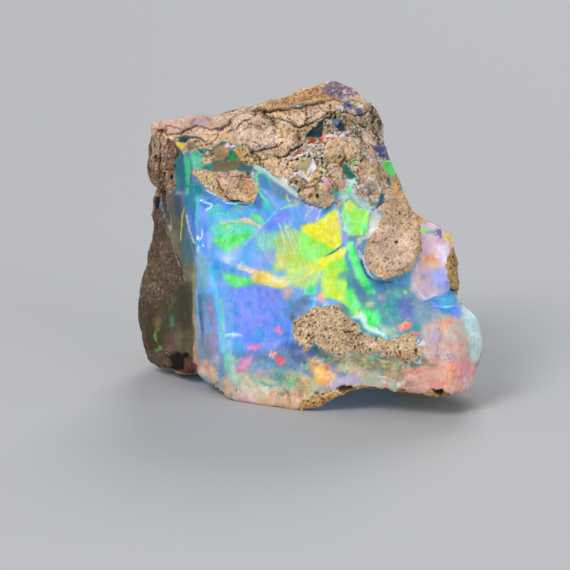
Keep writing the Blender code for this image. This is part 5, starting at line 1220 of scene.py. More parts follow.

# Pits, specks and threads, over the whole sheet, with painted shade in the pits and cracks and a painted
# highlight low at the left.
SPECKS: Marks = (
    Shard(Hue.TAN_GREY, path(-16.3, 28.5, -15.8, 28.7, -15.6, 27.3, -15.8, 25, -16.2, 24.2,
        -16.5, 26.9), 0.8, 0.14),
    Shard(Hue.TAN_PINK, path(-15.4, 28.5, -15, 28.3, -14.8, 26.7, -15.1, 24.6, -15.4, 25.9), 0.75, 0.12),
    Band(Hue.UMBER_DARK, 0.09, path(-15.6, 28.5, -15.5, 26.9, -15.6, 25.2, -15.3, 23.6), 0.85, 0.7),
    Band(Hue.UMBER_DARK, 0.08, path(-16.2, 27.9, -16, 26.3, -16.3, 24.6), 0.8, 0.7),
    Streak(Hue.UMBER_RED, 0.14, path(-16, 28.9, -15.3, 28.8, -14.7, 28.2), 0.8),
    Scatter(5, 29.5, 2.4, 3.4, -60, 170, 0.09, 0.3, 0.4, -55, 0.85,
            (Hue.WHITE_LILAC, Hue.MIDNIGHT, Hue.TEAL_VEIN, Hue.VEIN_INDIGO, Hue.GLINT_ROCK, Hue.BLUE_GREY_VEIN,
             Hue.TAN_PINK, Hue.HOLLOW_SHADE, Hue.GLINT_ROCK, Hue.UMBER_DARK)),
    Scatter(1.3, 27.3, 4.3, 2.6, 8, 200, 0.09, 0.32, 0.35, 24, 0.8,
            (Hue.WHITE_LILAC, Hue.MIDNIGHT_TEAL, Hue.GLINT_ROCK, Hue.UMBER_DARK, Hue.PINK_TAN,
             Hue.TEAL_DEEP_VEIN, Hue.UMBER_RED, Hue.TAN_WARM, Hue.OCHRE)),
    Scatter(2.3, 23.4, 4.5, 1.5, -16, 170, 0.1, 0.32, 0.5, -30, 0.75,
            (Hue.MINT_PALE, Hue.WHITE_LILAC, Hue.TEAL_SOFT, Hue.ORCHID, Hue.TAN_PINK, Hue.UMBER, Hue.GLINT_ROCK,
             Hue.SPRING, Hue.WHITE_LILAC, Hue.ORANGE, Hue.WHITE_LILAC)),
    Scatter(6.5, 26.5, 1.3, 1.6, 0, 60, 0.1, 0.24, 0.6, -40, 0.8,
            (Hue.VIOLET, Hue.POTCH_VIOLET, Hue.NAVY_TEAL, Hue.WHITE_LILAC, Hue.GLINT_ROCK, Hue.TAN)),
    Scatter(5.9, 22.6, 2, 2.4, -20, 110, 0.1, 0.28, 0.4, -55, 0.8,
            (Hue.WHITE_LILAC, Hue.WHITE_LILAC, Hue.GLINT_ROCK, Hue.TAN_WARM, Hue.TEAL_DEEP_VEIN,
             Hue.BLUE_GREY_VEIN)),
    Scatter(-0.6, 30.7, 5.7, 1.8, 12, 150, 0.09, 0.26, 0.4, 12, 0.7,
            (Hue.UMBER_DARK, Hue.HOLLOW_SHADE, Hue.UMBER_DARK, Hue.CREAM_ROCK, Hue.UMBER_RED)),
    Scatter(3.2, 33, 1.3, 0.9, -20, 60, 0.1, 0.26, 0.6, 0, 0.8,
            (Hue.POTCH_VIOLET, Hue.OCHRE, Hue.VIOLET, Hue.GLINT_ROCK, Hue.MAUVE_TAN, Hue.VEIN_VIOLET)),
    Scatter(-9.3, 26.9, 2.8, 1.3, 10, 90, 0.09, 0.26, 0.45, 15, 0.75,
            (Hue.UMBER_RED, Hue.GREEN_BOTTLE, Hue.GOLD_ROCK, Hue.GLINT_ROCK, Hue.UMBER_DARK, Hue.TAN_WARM)),
    Scatter(-15.6, 26.5, 1.1, 3.2, 0, 110, 0.1, 0.34, 0.35, 80, 0.7,
            (Hue.TAN, Hue.UMBER_DARK, Hue.CREAM_ROCK, Hue.UMBER_DARK, Hue.UMBER_RED, Hue.UMBER, Hue.TAN_PINK)),
    Scatter(0.7, 8.4, 3, 1.7, -8, 120, 0.09, 0.24, 0.5, 10, 0.75,
            (Hue.UMBER, Hue.OLIVE_UMBER, Hue.UMBER_DARK, Hue.PINK_TAN, Hue.CREAM_ROCK)),
    Scatter(6.3, 7.1, 3, 0.9, -8, 90, 0.09, 0.26, 0.5, -20, 0.7,
            (Hue.RUST_RED, Hue.BROWN, Hue.TEAL_VEIN, Hue.CREAM_ROCK, Hue.UMBER, Hue.OLIVE_TAN)),
    Blot(Hue.OLIVE_MILK, -1, 25.2, 0.61, 0.51, 0, 0.8, 0.8),
    Blot(Hue.LIME_SOFT, 0.9, 25, 0.3, 0.41, 30, 0.8, 0.75),
    Blot(Hue.ORANGE, 0.3, 24.4, 0.45, 0.3, -20, 0.7, 0.95),
    Blot(Hue.YELLOW_AMBER, -0.3, 24, 0.32, 0.26, -30, 0.7),
    Blot(Hue.ORANGE, -1.6, 24, 0.32, 0.2, -20, 0.7, 0.8),
    Blot(Hue.PINK, 1.4, 23.7, 0.45, 0.26, -25, 0.7),
    Blot(Hue.RED_PINK, 1.7, 23.2, 0.28, 0.22, 0, 0.7, 0.95),
    Blot(Hue.PLUM, 2.1, 23.4, 0.22, 0.3, 0, 0.8, 0.7),
    Blot(Hue.TEAL, 2.3, 22.4, 0.55, 0.41, 0, 0.7, 0.85),
    Blot(Hue.SEA_GREEN, 2.1, 22.8, 0.3, 0.2, 0, 0.8, 0.6),
    Blot(Hue.LEAF_BRIGHT, 4, 25.6, 0.24, 0.37, -20, 0.7),
    Blot(Hue.GREEN, 3.6, 22.8, 0.34, 0.65, -28, 0.8, 0.8),
    Band(Hue.WHITE_LILAC, 0.09, path(-2.8, 24.2, -2.2, 24.6, -1.5, 24.6, -0.9, 24.1), 0.9, 0.6),
    Band(Hue.WHITE_LILAC, 0.09, path(-0.1, 25.8, 0.2, 25.2, -0.6, 23.8), 0.9, 0.6),
    Band(Hue.GLINT_ROCK, 0.08, path(4.9, 26.8, 5.7, 25.9, 6.7, 25.8, 8, 25.9), 0.9, 0.6),
    Band(Hue.GLINT_ROCK, 0.07, path(2.8, 28.3, 3.7, 28.2, 4.4, 27.7, 4.7, 27.1), 0.85, 0.6),
    Band(Hue.WHITE_LILAC, 0.07, path(5.1, 24.2, 5.9, 24, 6.5, 23.4, 6.7, 22.6), 0.85, 0.6),
    Band(Hue.WHITE_LILAC, 0.07, path(3.9, 23.8, 4.5, 23.2, 4.9, 22.4, 5.7, 21.8), 0.8, 0.6),
    Blot(Hue.TEAL_VEIN, 6.8, 21.9, 0.22, 0.71, -18, 0.7),
    Blot(Hue.TEAL_VEIN, 7.6, 23.8, 0.18, 0.51, -10, 0.7, 0.85),
    Scatter(2.9, 20.4, 0.7, 2, 0, 70, 0.05, 0.15, 0.6, 60, 0.85, (Hue.WHITE_MINT, Hue.GLINT, Hue.MINT_PALE)),
    Scatter(5.1, 17.9, 0.9, 3, 14, 90, 0.05, 0.15, 0.6, 60, 0.8,
            (Hue.WHITE_LILAC, Hue.WHITE_LILAC, Hue.STEEL_SOFT, Hue.GLINT_ROCK)),
    Streak(Hue.GLINT_BLUE, 0.09, path(-3.5, 19.4, -3.1, 18.2, -2.8, 16.7), 0.85, 0.7),
    Streak(Hue.CREAM, 0.09, path(-2.9, 19, -2.3, 17.6, -1.8, 16.1), 0.8, 0.7),
    Streak(Hue.YELLOW, 0.12, path(-3.3, 18.6, -2.6, 17.1, -2.1, 15.9), 0.8),
    Streak(Hue.HOLLOW_SHADE, 0.1, path(-4.9, 30.4, -2.9, 29.9, -1.6, 29.2, -0.1, 29.6, 1, 30.3, 1.5, 30.8), 0.85, 0.6),
    Streak(Hue.HOLLOW_SHADE, 0.09, path(1.7, 31.4, 1.7, 30.6), 0.85, 0.6),
    Streak(Hue.HOLLOW_SHADE, 0.09, path(-0.7, 31, -0.6, 30, -0.9, 29.5), 0.7, 0.6),
    Streak(Hue.HOLLOW_SHADE, 0.09, path(3, 30.7, 4.4, 30.4, 5.4, 30.7), 0.8, 0.6),
    Streak(Hue.HOLLOW_SHADE, 0.11, path(-6.4, 30.6, -4.7, 30.7, -2.4, 31.2, 2, 32, 2.8, 31.9), 0.85, 0.6),
    Streak(Hue.HOLLOW_SHADE, 0.1, path(-6.4, 26.6, -3.6, 27.2, -3.1, 27.7), 0.8, 0.6),
    Streak(Hue.HOLLOW_SHADE, 0.09, path(-8.7, 28.7, -7.9, 29.1, -7, 29.9, -5.8, 30.4), 0.7, 0.6),
    Streak(Hue.MIDNIGHT_TEAL, 0.2, path(-14.2, 28, -13.1, 28.3, -11.9, 28.1, -10.9, 27.7), 0.9, 1),
    Blot(Hue.HOLLOW_SHADE, -15.9, 25.9, 0.18, 0.34, 0, 0.8, 0.85),
    Blot(Hue.HOLLOW_SHADE, -15.1, 24.4, 0.2, 0.37, 10, 0.8),
    Blot(Hue.HOLLOW_SHADE, -14.4, 24.1, 0.16, 0.26, 0, 0.8),
    Blot(Hue.HOLLOW_SHADE, -14.8, 27.1, 0.3, 0.14, 20, 0.8, 0.8),
    Blot(Hue.HOLLOW_SHADE, -14.1, 25.2, 0.14, 0.34, -10, 0.8, 0.8),
    Scatter(-15.6, 26.1, 1.1, 3, 0, 70, 0.13, 0.32, 0.4, 80, 0.75,
            (Hue.HOLLOW_SHADE, Hue.TAN, Hue.UMBER_DARK, Hue.PINK_TAN, Hue.HOLLOW_SHADE)),
    Scatter(-5.2, 28.3, 4.1, 1.4, -8, 70, 0.09, 0.22, 0.4, 10, 0.7,
            (Hue.HOLLOW_SHADE, Hue.UMBER_DARK, Hue.HOLLOW_SHADE, Hue.CREAM_ROCK)),
    # painted highlight: a glint with its pale cyan halo
    Blot(Hue.PALE_CYAN, -8.3, 8.1, 1.22, 0.26, 0, 1, 0.75),
    Blot(Hue.GLINT, -8.4, 8.1, 0.61, 0.13, 0, 1, 0.8),
)

# The hem of host rock along the bottom.
HEM: Marks = (
    Shard(Hue.GOLD_ROCK, path(-1.6, 1.3, 1.7, 2.5, 5.3, 3, 6.7, 2.9, 7.8, 2.5, 8.6, 2.8, 10.8, 2.1, 12.4, 2.7,
        13.2, 2.3, 15.9, 1.7, 8.8, 0.5, -1.4, 0.3), 1, 0.09),
    Blot(Hue.UMBER_DARK, 3.2, 2.7, 0.99, 0.35, 6, 0.4, 0.95),
    Shard(Hue.UMBER_DARK, path(4.9, 2.7, 5.9, 2.9, 8, 2.4, 7.6, 1.9, 5.7, 1.9), 0.9, 0.16),
    Streak(Hue.CREAM_ROCK, 0.1, path(1.3, 2.1, 2.3, 2.4, 3.3, 2.2, 4, 2.4)),
    Blot(Hue.UMBER_DARK, 0.3, 2.2, 0.34, 0.24, 0, 0.9, 0.85),
    Blot(Hue.HOLLOW_SHADE, 12.8, 2.3, 0.69, 0.37, 0, 0.4),
)

ALL_MARKS: Marks = (*OPAL_GROUND, *LOWER_FIELD, *MIDDLE_FIELD, *UPPER_MIDDLE, *YELLOW_FACETS, *GREEN_FAN,
    *SLAB, *RIGHT_LOBE, *LOWER_EDGE, *FLAKE, *LEFT_RIDGE, *LEFT_LOWER, *RIBS, *BACK_LEFT, *FOOT, *CAP,
    *VEINED_BAND, *PALE_GREEN_LENSES, *CLASTS, *HOST_LOBE, *CRUMBLY_EDGE, *SPONGE, *SPECKS, *HEM)

def on_sheet(places: Array) -> tuple[Array, Array, Array]:
    """Throws places in the stone onto the layout sheet.

    Args:
        places: Places in the object's frame, in millimetres.

    Returns:
        How far across and up the sheet each lands, and the direction of the layout point from each.
    """
    offset = places - SHEET_MIDDLE
    spread = SHEET_DISTANCE / (SHEET_DISTANCE - offset @ OUTWARD)
    towards = SHEET_MIDDLE + SHEET_DISTANCE * OUTWARD - places
    towards /= np.linalg.norm(towards, axis=1)[:, None]
    return (offset @ ACROSS) * spread + SHEET_ORIGIN[0], (offset @ UP) * spread + SHEET_ORIGIN[1], towards


class Lattice:
    """Repeatable random numbers in space, on a lattice that repeats every SIDE cells."""

    SIDE = 32

    def __init__(self, seed: int) -> None:
        """Draws the numbers.

        Args:
            seed: Chooses the pattern.
        """
        draw = np.random.default_rng(seed)
        self.values = draw.uniform(-1.0, 1.0, (self.SIDE,) * 3)
        self.seats = draw.random((self.SIDE,) * 3 + (3,))

    def smooth(self, places: Array, scale: float, octaves: int = 1) -> Array:
        """Smooth noise of about -1 to 1.

        Args:
            places: Where to read it.
            scale: Width of its largest lumps.
            octaves: How many times it repeats at half the width and height.

        Returns:
            One value per place.
        """
        total = np.zeros(len(places))
        for octave in range(octaves):
            spots = places * (2.0 ** octave / scale) + 5.7 * octave
            base = np.floor(spots).astype(int)
            part = spots - base
            part = part * part * (3.0 - 2.0 * part)
            for corner in product((0, 1), repeat=3):
                share = np.prod(np.where(corner, part, 1.0 - part), axis=1)
                index = tuple(((base + corner) % self.SIDE).T)
                total += share * self.values[index] * 0.5 ** octave
        return total

    def warp(self, places: Array, amount: float, scale: float, octaves: int,
             shifts: tuple[float, float, float]) -> Array:
        """Bends space smoothly.

        Args:
            places: The places to move.
            amount: How far they may move.
            scale: Width of the largest bends.
            octaves: How many times the bends repeat at half the width and height.
            shifts: Where in the noise the moves along X, Y and Z are read.

        Returns:
            The moved places.
        """
        moves = [self.smooth(places + shift, scale, octaves) for shift in shifts]
        return places + amount * np.stack(moves, axis=1)

    def cells(self, places: Array, scale: float) -> tuple[Array, Array, Array]:
        """Irregular cells about scale wide.

        Args:
            places: Where to read them.
            scale: Mean distance of the cells' seats.

        Returns:
            Distance to the nearest seat and to the next, as shares of the scale, and the nearest
            cell's own random number from -1 to 1.
        """
        spots = places / scale
        base = np.floor(spots).astype(int)
        nearest = np.full(len(places), 9.0)
        second = np.full(len(places), 9.0)
        own = np.zeros(len(places))
        for corner in product((-1, 0, 1), repeat=3):
            index = tuple(((base + corner) % self.SIDE).T)
            gap = np.linalg.norm(base + corner + self.seats[index] - spots, axis=1)
            second = np.minimum(second, np.maximum(gap, nearest))
            own = np.where(gap < nearest, self.values[index], own)
            nearest = np.minimum(nearest, gap)
        return nearest, second, own


@dataclass(frozen=True)
class Fibres:
    """The fine threads that broken opal shows, upright at the left and leaning to the right."""

    lean: float = 3.0          # degrees of lean per millimetre across
    upright_at: float = -8.0   # where across they stand upright
    flattest: float = 45.0     # degrees of the threads that lean the most
    steepest: float = 96.0
    # width and length of the coarse and the fine threads, and how far they push
    steps: tuple[tuple[float, float, float], ...] = ((0.45, 3.0, 0.14), (0.22, 1.2, 0.09))
    # where the threads calm down: from and to up or across the sheet, and by how much
    calm_low: tuple[float, float, float] = (9.5, 6.5, 0.7)
    calm_right: tuple[float, float, float] = (8.5, 12.0, 0.6)

    def push(self, across: Array, up: Array, lattice: Lattice) -> tuple[Array, Array]:
        """Moves places along the threads, so that the edges of a mark end in threads.

        Args:
            across: Places along the sheet.
            up: Places up the sheet.
            lattice: The random numbers to use.

        Returns:
            The moved places.
        """
        angle = np.radians(np.clip(90.0 - self.lean * (across - self.upright_at), self.flattest, self.steepest))
        over = up * np.cos(angle) - across * np.sin(angle)
        along = across * np.cos(angle) + up * np.sin(angle)
        calm = ((1.0 - self.calm_low[2] * smooth_step(self.calm_low[0], self.calm_low[1], up))
                * (1.0 - self.calm_right[2] * smooth_step(self.calm_right[0], self.calm_right[1], across)))
        slide = np.zeros(len(across))
        for width, length, amount in self.steps:
            spots = np.stack([over / width, along / length, np.full(len(across), 7.0 * width)], axis=1)
            slide += amount * calm * lattice.smooth(spots, 1.0)
        return across + slide * np.cos(angle), up + slide * np.sin(angle)


@dataclass(frozen=True)
class Mosaic:
    """The small patches that the play of colour breaks into, coarsest low down and to the right."""

    patch: float = 0.42
    least: float = 0.05
    low: tuple[float, float, float] = (10.5, 6.0, 0.13)     # from and to up the sheet, and how much more
    right: tuple[float, float, float] = (8.0, 12.5, 0.09)   # from and to across the sheet, and how much more

    def push(self, across: Array, up: Array, lattice: Lattice) -> tuple[Array, Array]:
        """Moves each patch of places as one, in its own direction.

        Args:
            across: Places along the sheet.
            up: Places up the sheet.
            lattice: The random numbers to use.

        Returns:
            The moved places.
        """
        flat = np.stack([across, up, np.full(len(across), 21.0)], axis=1)
        _, _, own = lattice.cells(flat + 0.3 * lattice.smooth(flat, 0.5, 2)[:, None], self.patch)
        amount = (self.least + self.low[2] * smooth_step(self.low[0], self.low[1], up)
                  + self.right[2] * smooth_step(self.right[0], self.right[1], across))
        return across + amount * np.cos(40.0 * own), up + amount * np.sin(40.0 * own)


class LayoutSheet:
    """The marks, in the order they are laid."""

    SWAY = ((0.10, 1.1), (0.05, 0.42))   # how far the edges of opal wander, and the width of that wandering
    CRUMBLE = (0.11, 0.5, 3)             # how far, how wide and how finely the edges of rock crumble

    def __init__(self, marks: Marks, fibres: Fibres = Fibres(), mosaic: Mosaic = Mosaic()) -> None:
        """Keeps the marks.

        Args:
            marks: The marks, the lowest first.
            fibres: The threads that opal marks fray along.
            mosaic: The patches that opal marks break into.
        """
        self.marks = [piece for mark in marks
                      for piece in (mark.blots() if isinstance(mark, Scatter) else (mark,))]
        self.fibres = fibres
        self.mosaic = mosaic

    def lay(self, across: Array, up: Array, lattice: Lattice) -> tuple[Array, Array]:
        """Lays every mark over the ones before it: opal frays along its threads, rock crumbles.

        Args:
            across: Places along the sheet.
            up: Places up the sheet.
            lattice: The random numbers to use.

        Returns:
            The sRGB colour at each place, and its traits: shares of host rock, grit and veins.
        """
        colour = np.zeros((len(across), 3))
        traits = np.zeros((len(across), 3))
        flat = np.stack([across, up, np.zeros(len(across))], axis=1)
        sway = [sum(amount * lattice.smooth(flat + shift, width) for amount, width in self.SWAY)
                for shift in (0.0, 50.0)]
        amount, width, octaves = self.CRUMBLE
        crumble = [amount * lattice.smooth(flat + shift, width, octaves) for shift in (90.0, 130.0)]
        frayed = self.fibres.push(*self.mosaic.push(across + sway[0], up + sway[1], lattice), lattice)
        sheet = (across, up)
        for mark in self.marks:
            tone = mark.hue.value
            fray, share = (0.0, max(0.8, 1.2 * tone.grit)) if tone.rock else (mark.fray, traits[:, 0])
            across, up = (place + fray * (moved - place) + share * shift
                          for place, moved, shift in zip(sheet, frayed, crumble))
            left, right, low, high = mark.reach()
            near = np.flatnonzero((across > left) & (across < right) & (up > low) & (up < high))
            if len(near):
                cover = mark.cover(across[near], up[near])
                colour[near] = blend(colour[near], tone.colour, cover)
                traits[near] = blend(traits[near], tone.traits, cover)
        return colour, traits


@dataclass(frozen=True)
class SurroundOpal:
    """The opal and crust of the sides, top and back, where the layout sheet does not reach."""

    drift: float = 6.0        # width of the islands of crust
    vein_spacing: float = 6.5
    vein: float = 0.07        # half width of the veins between them, as a share of their spacing
    flash: float = 1.7        # width of one flash of colour
    flash_share: float = 0.85   # how far a flash covers the body colour
    body: tuple[Hue, ...] = (Hue.STEEL, Hue.SKY, Hue.TEAL_SOFT, Hue.PERIWINKLE, Hue.STEEL)
    flashes: tuple[Hue, ...] = (Hue.SKY, Hue.PERIWINKLE, Hue.TURQUOISE, Hue.GREEN, Hue.IRIS, Hue.LIME_GREEN,
                                Hue.AZURE, Hue.CORAL, Hue.SEA_GREEN, Hue.HONEY)
    crust: tuple[Hue, ...] = (Hue.BROWN, Hue.TAN, Hue.MAUVE_TAN, Hue.OCHRE, Hue.PINK_TAN)

    def rock(self, places: Array, lattice: Lattice) -> Array:
        """Share of host rock, in islands with crisp edges and veins of opal between them."""
        islands = lattice.smooth(places + 3.0, self.drift, 3)
        nearest, second, _ = lattice.cells(lattice.warp(places, 0.9, 3.0, 2, (5.0, 15.0, 25.0)),
                                           self.vein_spacing)
        width = self.vein * smooth_step(-0.1, 0.7, lattice.smooth(places + 90.0, 5.0, 2))
        vein = (1.0 - smooth_step(0.6, 1.0, (second - nearest) / (width + 1e-3))) * (width > 0.004)
        height = smooth_step(4.0, 30.0, places[:, 2])
        return smooth_step(-0.20, -0.06, islands + 0.25 * height) * (1.0 - vein)

    @staticmethod
    def drifting(hues: tuple[Hue, ...], noise: Array) -> Array:
        """The hues in turn, blended from one to the next as the noise runs from -1 to 1."""
        steps = (np.clip(noise, -1.0, 1.0) * 0.5 + 0.5) * (len(hues) - 1)
        return np.stack([np.interp(steps, range(len(hues)), [hue.value.colour[channel] for hue in hues])
                         for channel in range(3)], axis=1)

    def colour(self, places: Array, rock: Array, lattice: Lattice) -> Array:
        """sRGB colour at each place."""
        nearest, second, own = lattice.cells(lattice.warp(places, 0.35, 1.4, 2, (3.0, 11.0, 23.0)), self.flash)
        flashes = np.array([hue.value.colour for hue in self.flashes])
        chosen = flashes[((own * 0.5 + 0.5) * 0.999 * len(flashes)).astype(int)]
        show = smooth_step(-0.55, 0.35, lattice.smooth(places + 40.0, 4.0, 2))
        show = show * smooth_step(0.0, 0.12, second - nearest)
        opal = self.drifting(self.body, lattice.smooth(places + 70.0, 5.0, 3))
        opal = blend(opal, chosen, self.flash_share * show)
        return blend(opal, self.drifting(self.crust, lattice.smooth(places + 60.0, 3.0, 3)), rock)


@dataclass(frozen=True)
class OpalVeins:
    """Thin broken veins that run between the clasts of veined rock."""

    spacing: float = 1.25
    widest: float = 0.20      # half width, as a share of the spacing
    least: float = 0.012      # veins narrower than this are left out
    share: float = 0.9        # how far a vein covers the rock
    nets: tuple[tuple[float, float], ...] = ((1.0, 0.0), (0.55, 200.0))   # size of each net, and its shift
    # the near-black among them is painted shade in the cracks between the clasts
    hues: tuple[Hue, ...] = (Hue.UMBER_DARK, Hue.WHITE_LILAC, Hue.TEAL_DEEP_VEIN, Hue.GLINT_ROCK, Hue.HOLLOW_SHADE,
                             Hue.GLINT_ROCK, Hue.UMBER_RED, Hue.HOLLOW_SHADE)

    def cut(self, places: Array, colour: Array, rock: Array, veined: Array,
            lattice: Lattice) -> tuple[Array, Array]:
        """Draws the veins where the rock is veined.

        Args:
            places: Places in the stone.
            colour: Their sRGB colour.
            rock: Their share of rock.
            veined: How full of veins the rock is there.
            lattice: The random numbers to use.

        Returns:
            The changed colour and share of rock.
        """
        for scale, shift in self.nets:
            moved = places + shift
            near, second, _ = lattice.cells(lattice.warp(moved, 0.5 * scale, 0.9 * scale, 3, (7.0, 17.0, 27.0)),
                                            self.spacing * scale)
            half = self.widest * smooth_step(-0.1, 0.55, lattice.smooth(moved + 37.0, 1.6 * scale, 2)) * veined
            share = (1.0 - smooth_step(0.5, 1.0, (second - near) / (half + 1e-4))) * (half > self.least)
            pick = (lattice.smooth(moved + 47.0, 1.3, 2) * 0.5 + 0.5) * len(self.hues)
            pick = np.clip(pick.astype(int), 0, len(self.hues) - 1)
            chosen = np.array([hue.value.colour for hue in self.hues])[pick]
            stone = np.array([float(hue.value.rock) for hue in self.hues])[pick]
            colour = blend(colour, chosen, self.share * share)
            rock = rock + (stone - rock) * share
        return colour, rock


@dataclass(frozen=True)
class RockGrain:
    """The crystals and pores of the host rock that are large enough to model."""

    crystal: float = 0.34     # spacing of the pale crystals
    pore: float = 0.40        # spacing of the small pores
    cavity: float = 1.3       # spacing of the larger cavities
    crack: float = 2.1        # spacing of the hair cracks
    crack_height: float = 20.0  # the cracks keep to the rock above this
    crystal_rise: float = 0.06  # how far each kind stands out or lies below the skin
    pore_depth: float = 0.12
    cavity_depth: float = 0.30
    crack_depth: float = 0.10
    sink: float = 0.30        # how deep the darkest hollows lie
    crystal_tint: float = 0.45  # how far each kind takes on the pale or the dark colour
    pore_shade: float = 0.62
    cavity_shade: float = 0.80
    crack_shade: float = 0.80
    pale: tuple[float, float, float] = (0.95, 0.88, 0.77)
    # painted shade: the dark that the pores, cavities and cracks take on
    dark: tuple[float, float, float] = (0.20, 0.12, 0.07)

    def weather(self, places: Array, colour: Array, rock: Array, grit: Array,
                lattice: Lattice) -> tuple[Array, Array, Array]:
        """Adds crystals, pores, hollows and cracks where there is rock, darkening the pores, hollows and cracks
        as painted shade.

        Args:
            places: Places in the stone.
            colour: Their sRGB colour.
            rock: Their share of rock.
            grit: How gritty the rock is there.
            lattice: The random numbers to use.

        Returns:
            The changed colour, the height to add along each normal, and the grit left for the finish.
        """
        hollow = rock * (1.0 - smooth_step(0.16, 0.36, colour.mean(axis=1)))
        coarse = rock * grit * (1.0 - hollow)
        near, _, own = lattice.cells(places + 30.0, self.crystal)
        crystals = (1.0 - smooth_step(0.15, 0.5, near)) * smooth_step(-0.1, 0.6, own) * coarse
        ragged = lattice.warp(places, 0.16, 0.5, 2, (33.0, 43.0, 53.0))
        near, _, own = lattice.cells(ragged + 80.0, self.pore)
        pores = (1.0 - smooth_step(0.18, 0.42, near)) * smooth_step(-0.2, 0.1, own) * coarse
        near, _, own = lattice.cells(ragged + 120.0, self.cavity)
        cavities = (1.0 - smooth_step(0.08, 0.20, near)) * smooth_step(0.4, 0.6, own) * coarse
        bent = lattice.warp(places, 0.55, 1.8, 3, (63.0, 73.0, 83.0))
        near, second, _ = lattice.cells(bent + 160.0, self.crack)
        broken = smooth_step(0.1, 0.6, lattice.smooth(places + 170.0, 3.0, 2)) * rock * np.minimum(grit, 1.0)
        broken = broken * smooth_step(0.0, 3.0, places[:, 2] - self.crack_height)
        cracks = (1.0 - smooth_step(0.025, 0.08, second - near)) * broken
        tone = 1.0 + rock * (0.07 + 0.12 * lattice.smooth(places + 140.0, 1.4, 3))
        colour = colour * tone[:, None]
        # pale crystals, then painted shade darkening the pores, cavities and cracks
        for share, target in ((self.crystal_tint * crystals, self.pale), (self.pore_shade * pores, self.dark),
                              (self.cavity_shade * cavities, self.dark), (self.crack_shade * cracks, self.dark)):
            colour = blend(colour, np.array(target), np.minimum(share, 1.0))
        height = (self.crystal_rise * crystals - self.pore_depth * pores - self.cavity_depth * cavities
                  - self.crack_depth * cracks - self.sink * hollow)
        return colour, height, grit * (1.0 - 0.8 * hollow)


def to_linear(colour: Array) -> Array:
    """sRGB shares as linear light."""
    return np.where(colour <= 0.04045, colour / 12.92, ((colour + 0.055) / 1.055) ** 2.4)


def read_vectors(items: bpy.types.bpy_prop_collection, name: str) -> Array:
    """One vector of each item, as rows."""
    values = np.empty(len(items) * 3)
    items.foreach_get(name, values)
    return values.reshape(-1, 3)


def place_vertices(mesh: bpy.types.Mesh, places: Array) -> None:
    """Moves the vertices of a mesh."""
    mesh.vertices.foreach_set("co", places.ravel())
    mesh.update()


def new_object(name: str, data: bpy.types.ID) -> bpy.types.Object:
    """A new object in the scene that shows this data."""
    made = bpy.data.objects.new(name, data)
    bpy.context.scene.collection.objects.link(made)
    return made


def apply_modifiers(item: bpy.types.Object) -> None:
    """Turns what an object's modifiers make of it into its mesh, under the object's own name."""
    evaluated = item.evaluated_get(bpy.context.evaluated_depsgraph_get())
    item.data = bpy.data.meshes.new_from_object(evaluated)
    item.data.name = item.name
    item.modifiers.clear()


